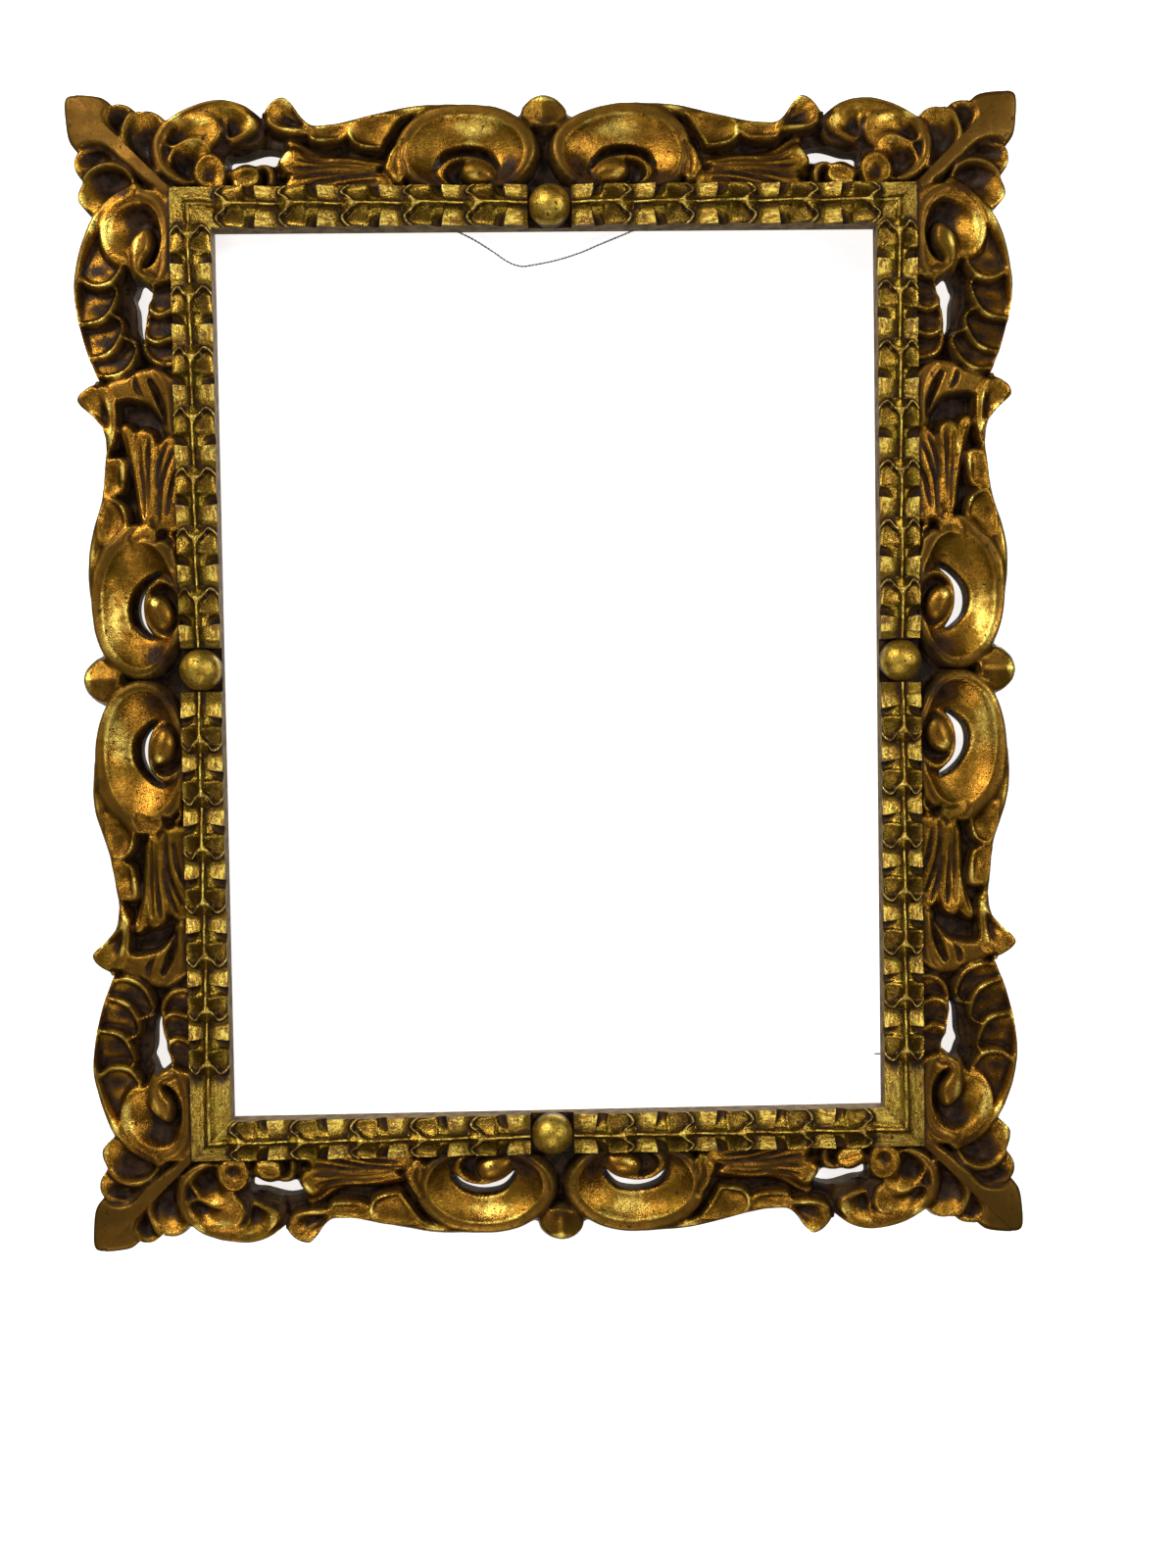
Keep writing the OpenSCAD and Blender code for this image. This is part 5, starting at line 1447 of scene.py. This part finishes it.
def moulding(name, bead_at, turn, runs, tree, finishes):
    whole = bmesh.new()
    for side, run in zip((-1, 1), runs):
        part = half_strip(bead_at, side, sight_halves(turn)[0], *run, tree, finishes[0])
        mesh = bpy.data.meshes.new("half")
        part.to_mesh(mesh)
        part.free()
        whole.from_mesh(mesh)
    bmesh.ops.remove_doubles(whole, verts=whole.verts, dist=0.008)
    bmesh.ops.holes_fill(whole, edges=[e for e in whole.edges if e.is_boundary])
    bmesh.ops.recalc_face_normals(whole, faces=whole.faces)
    strip = piece_from(whole, name + "_husks")
    points = read_points(strip.data)
    wander = swell(turn / 90 + 7, 0.7)
    points[:, 2] += np.where(points[:, 2] > RABBET_D + 5, wander(points[:, 0], points[:, 1]), 0.0)
    set_in_place(strip.data, points, turn, finishes, lambda facing, y: np.abs(facing) < 0.25, 42)
    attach(strip, "frame")
    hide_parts(name)


def turned_bead(name, bead_at, turn, finish):
    """Half-ball on a short collar, turned with its peg and left a little uneven."""
    seat = RABBET_D + BEAD_SEAT_T
    profile = [(0.0, -5.0), (3.0, -5.0), (3.0, 0.0), (BEAD_R - 0.6, 0.0), (BEAD_R, 0.7), (BEAD_R + 0.3, 2.0)]
    for k in range(13):
        a = math.radians(90 * k / 12)
        profile.append(((BEAD_R + 0.3) * math.cos(a), BEAD_COLLAR_H + BEAD_R * 0.97 * math.sin(a)))
    around = 56
    grain_at = Vector((turn / 90 * 3.7, 0, 0))
    rings = []
    bm = bmesh.new()
    for r, h in profile:
        if r < 1e-6:
            rings.append([bm.verts.new((bead_at, RIDGE_A, seat + h))])
            continue
        ring = []
        for k in range(around):
            t = 2 * math.pi * k / around
            place = Vector((math.cos(t) * r, math.sin(t) * r, h))
            if h > 0:
                place *= 1.0 + 0.018 * noise.noise(place / 9.0 + grain_at)
            ring.append(bm.verts.new(place + Vector((bead_at, RIDGE_A, seat))))
        rings.append(ring)
    for low, high in zip(rings, rings[1:]):
        for k in range(around):
            j = (k + 1) % around
            loop = [low[k % len(low)], low[j % len(low)], high[j % len(high)], high[k % len(high)]]
            bm.faces.new(list(dict.fromkeys(loop)))
    bmesh.ops.recalc_face_normals(bm, faces=bm.faces)
    bead = piece_from(bm, name + "_turned")
    points = read_points(bead.data)
    # Glaze and painted shade towards the bead's foot, and a painted highlight of polished gold on its top.
    put_field(bead.data, "hollow", ease(seat + 6.0 - points[:, 2], 0.0, 6.0) * 1.3 - 0.4)
    put_field(bead.data, "crest", np.zeros(len(points)))
    put_field(bead.data, "calm", np.full(len(points), 0.15))
    set_in_place(bead.data, points, turn, [finish], lambda facing, y: np.zeros(len(facing)), 50)
    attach(bead, "frame")
    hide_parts(name)


def finish_cad_nodes(names, finish):
    for name in names:
        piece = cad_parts[name]
        if not piece.material_slots:
            piece.data.materials.append(finish)
        for place in piece.material_slots:
            place.material = finish


camera_and_studio()
wire_finish = dull_steel("wire_steel", 0.42, 0.5)
hanging_wire(wire_finish)

carving_gilt = antique_gilt("gilt_on_carving", leaf=(0.40, 0.186, 0.021), olive=(0.165, 0.088, 0.008),
                            glaze_shade_reach=(0.12, 0.72), wear=0.3, polish=0.18, rub_and_highlight=0.1)
husk_gilt = antique_gilt("gilt_on_husks", leaf=(0.40, 0.240, 0.032), olive=(0.20, 0.138, 0.013),
                         glaze_shade_reach=(0.18, 0.85), wear=0.5, polish=0.15, rub_and_highlight=0.95)
bead_gilt = antique_gilt("gilt_on_beads", leaf=(0.62, 0.375, 0.050), olive=(0.28, 0.190, 0.018),
                         glaze_shade_reach=(0.25, 1.00), wear=0.15, polish=0.24, rub_and_highlight=0.3)
# Dark clay on the carving's steep walls, partly painted shade there.
bole_and_wall_shade = dull_bole("dull_bole", (0.085, 0.055, 0.026))
lip_clay = dull_bole("lip_clay", (0.250, 0.165, 0.075))
along_x, along_z = (0.6, 12.0, 12.0), (12.0, 12.0, 0.6)
across_wood = aged_wood("aged_wood_across", (0.30, 0.185, 0.095), along_x)
upright_wood = aged_wood("aged_wood_upright", (0.29, 0.18, 0.09), along_z)
key_wood = aged_wood("key_wood", (0.40, 0.27, 0.15), along_z)

end_shape, side_shape = end_carving(), side_carving()
for name, shape, slot, turn, seed, wood in (("top_rail", end_shape, END_SLIT, 0, 1, across_wood),
                                            ("bottom_rail", end_shape, END_SLOT, 180, 2, across_wood),
                                            ("left_rail", side_shape, SIDE_SLIT, 270, 3, upright_wood),
                                            ("right_rail", side_shape, SIDE_SLOT, 90, 4, upright_wood)):
    carved_rail(name, shape, slot, turn, seed, (carving_gilt, wood, bole_and_wall_shade))

# Husks of each half: the first one's distance from the bead's middle, their length and number
husk_row = repeat_tree()
for side, turn, runs in (("top", 0, ((52, 41.4, 5), (51, 41.6, 5))),
                         ("bottom", 180, ((52, 40.6, 5), (52, 40.5, 5))),
                         ("left", 270, ((51, 36.2, 7), (51, 39.8, 7))),
                         ("right", 90, ((51, 39.8, 7), (51, 36.2, 7)))):
    bead_at = bead_along(side + "_bead", turn)
    moulding(side + "_moulding", bead_at, turn, runs, husk_row, (husk_gilt, lip_clay))
    turned_bead(side + "_bead", bead_at, turn, bead_gilt)

corners = ("top_left", "top_right", "bottom_left", "bottom_right")
finish_cad_nodes(["corner_key_" + corner for corner in corners], key_wood)
finish_cad_nodes(["retaining_brads", "screw_eye_left", "screw_eye_right"], dull_steel("steel", 0.5, 0.35))
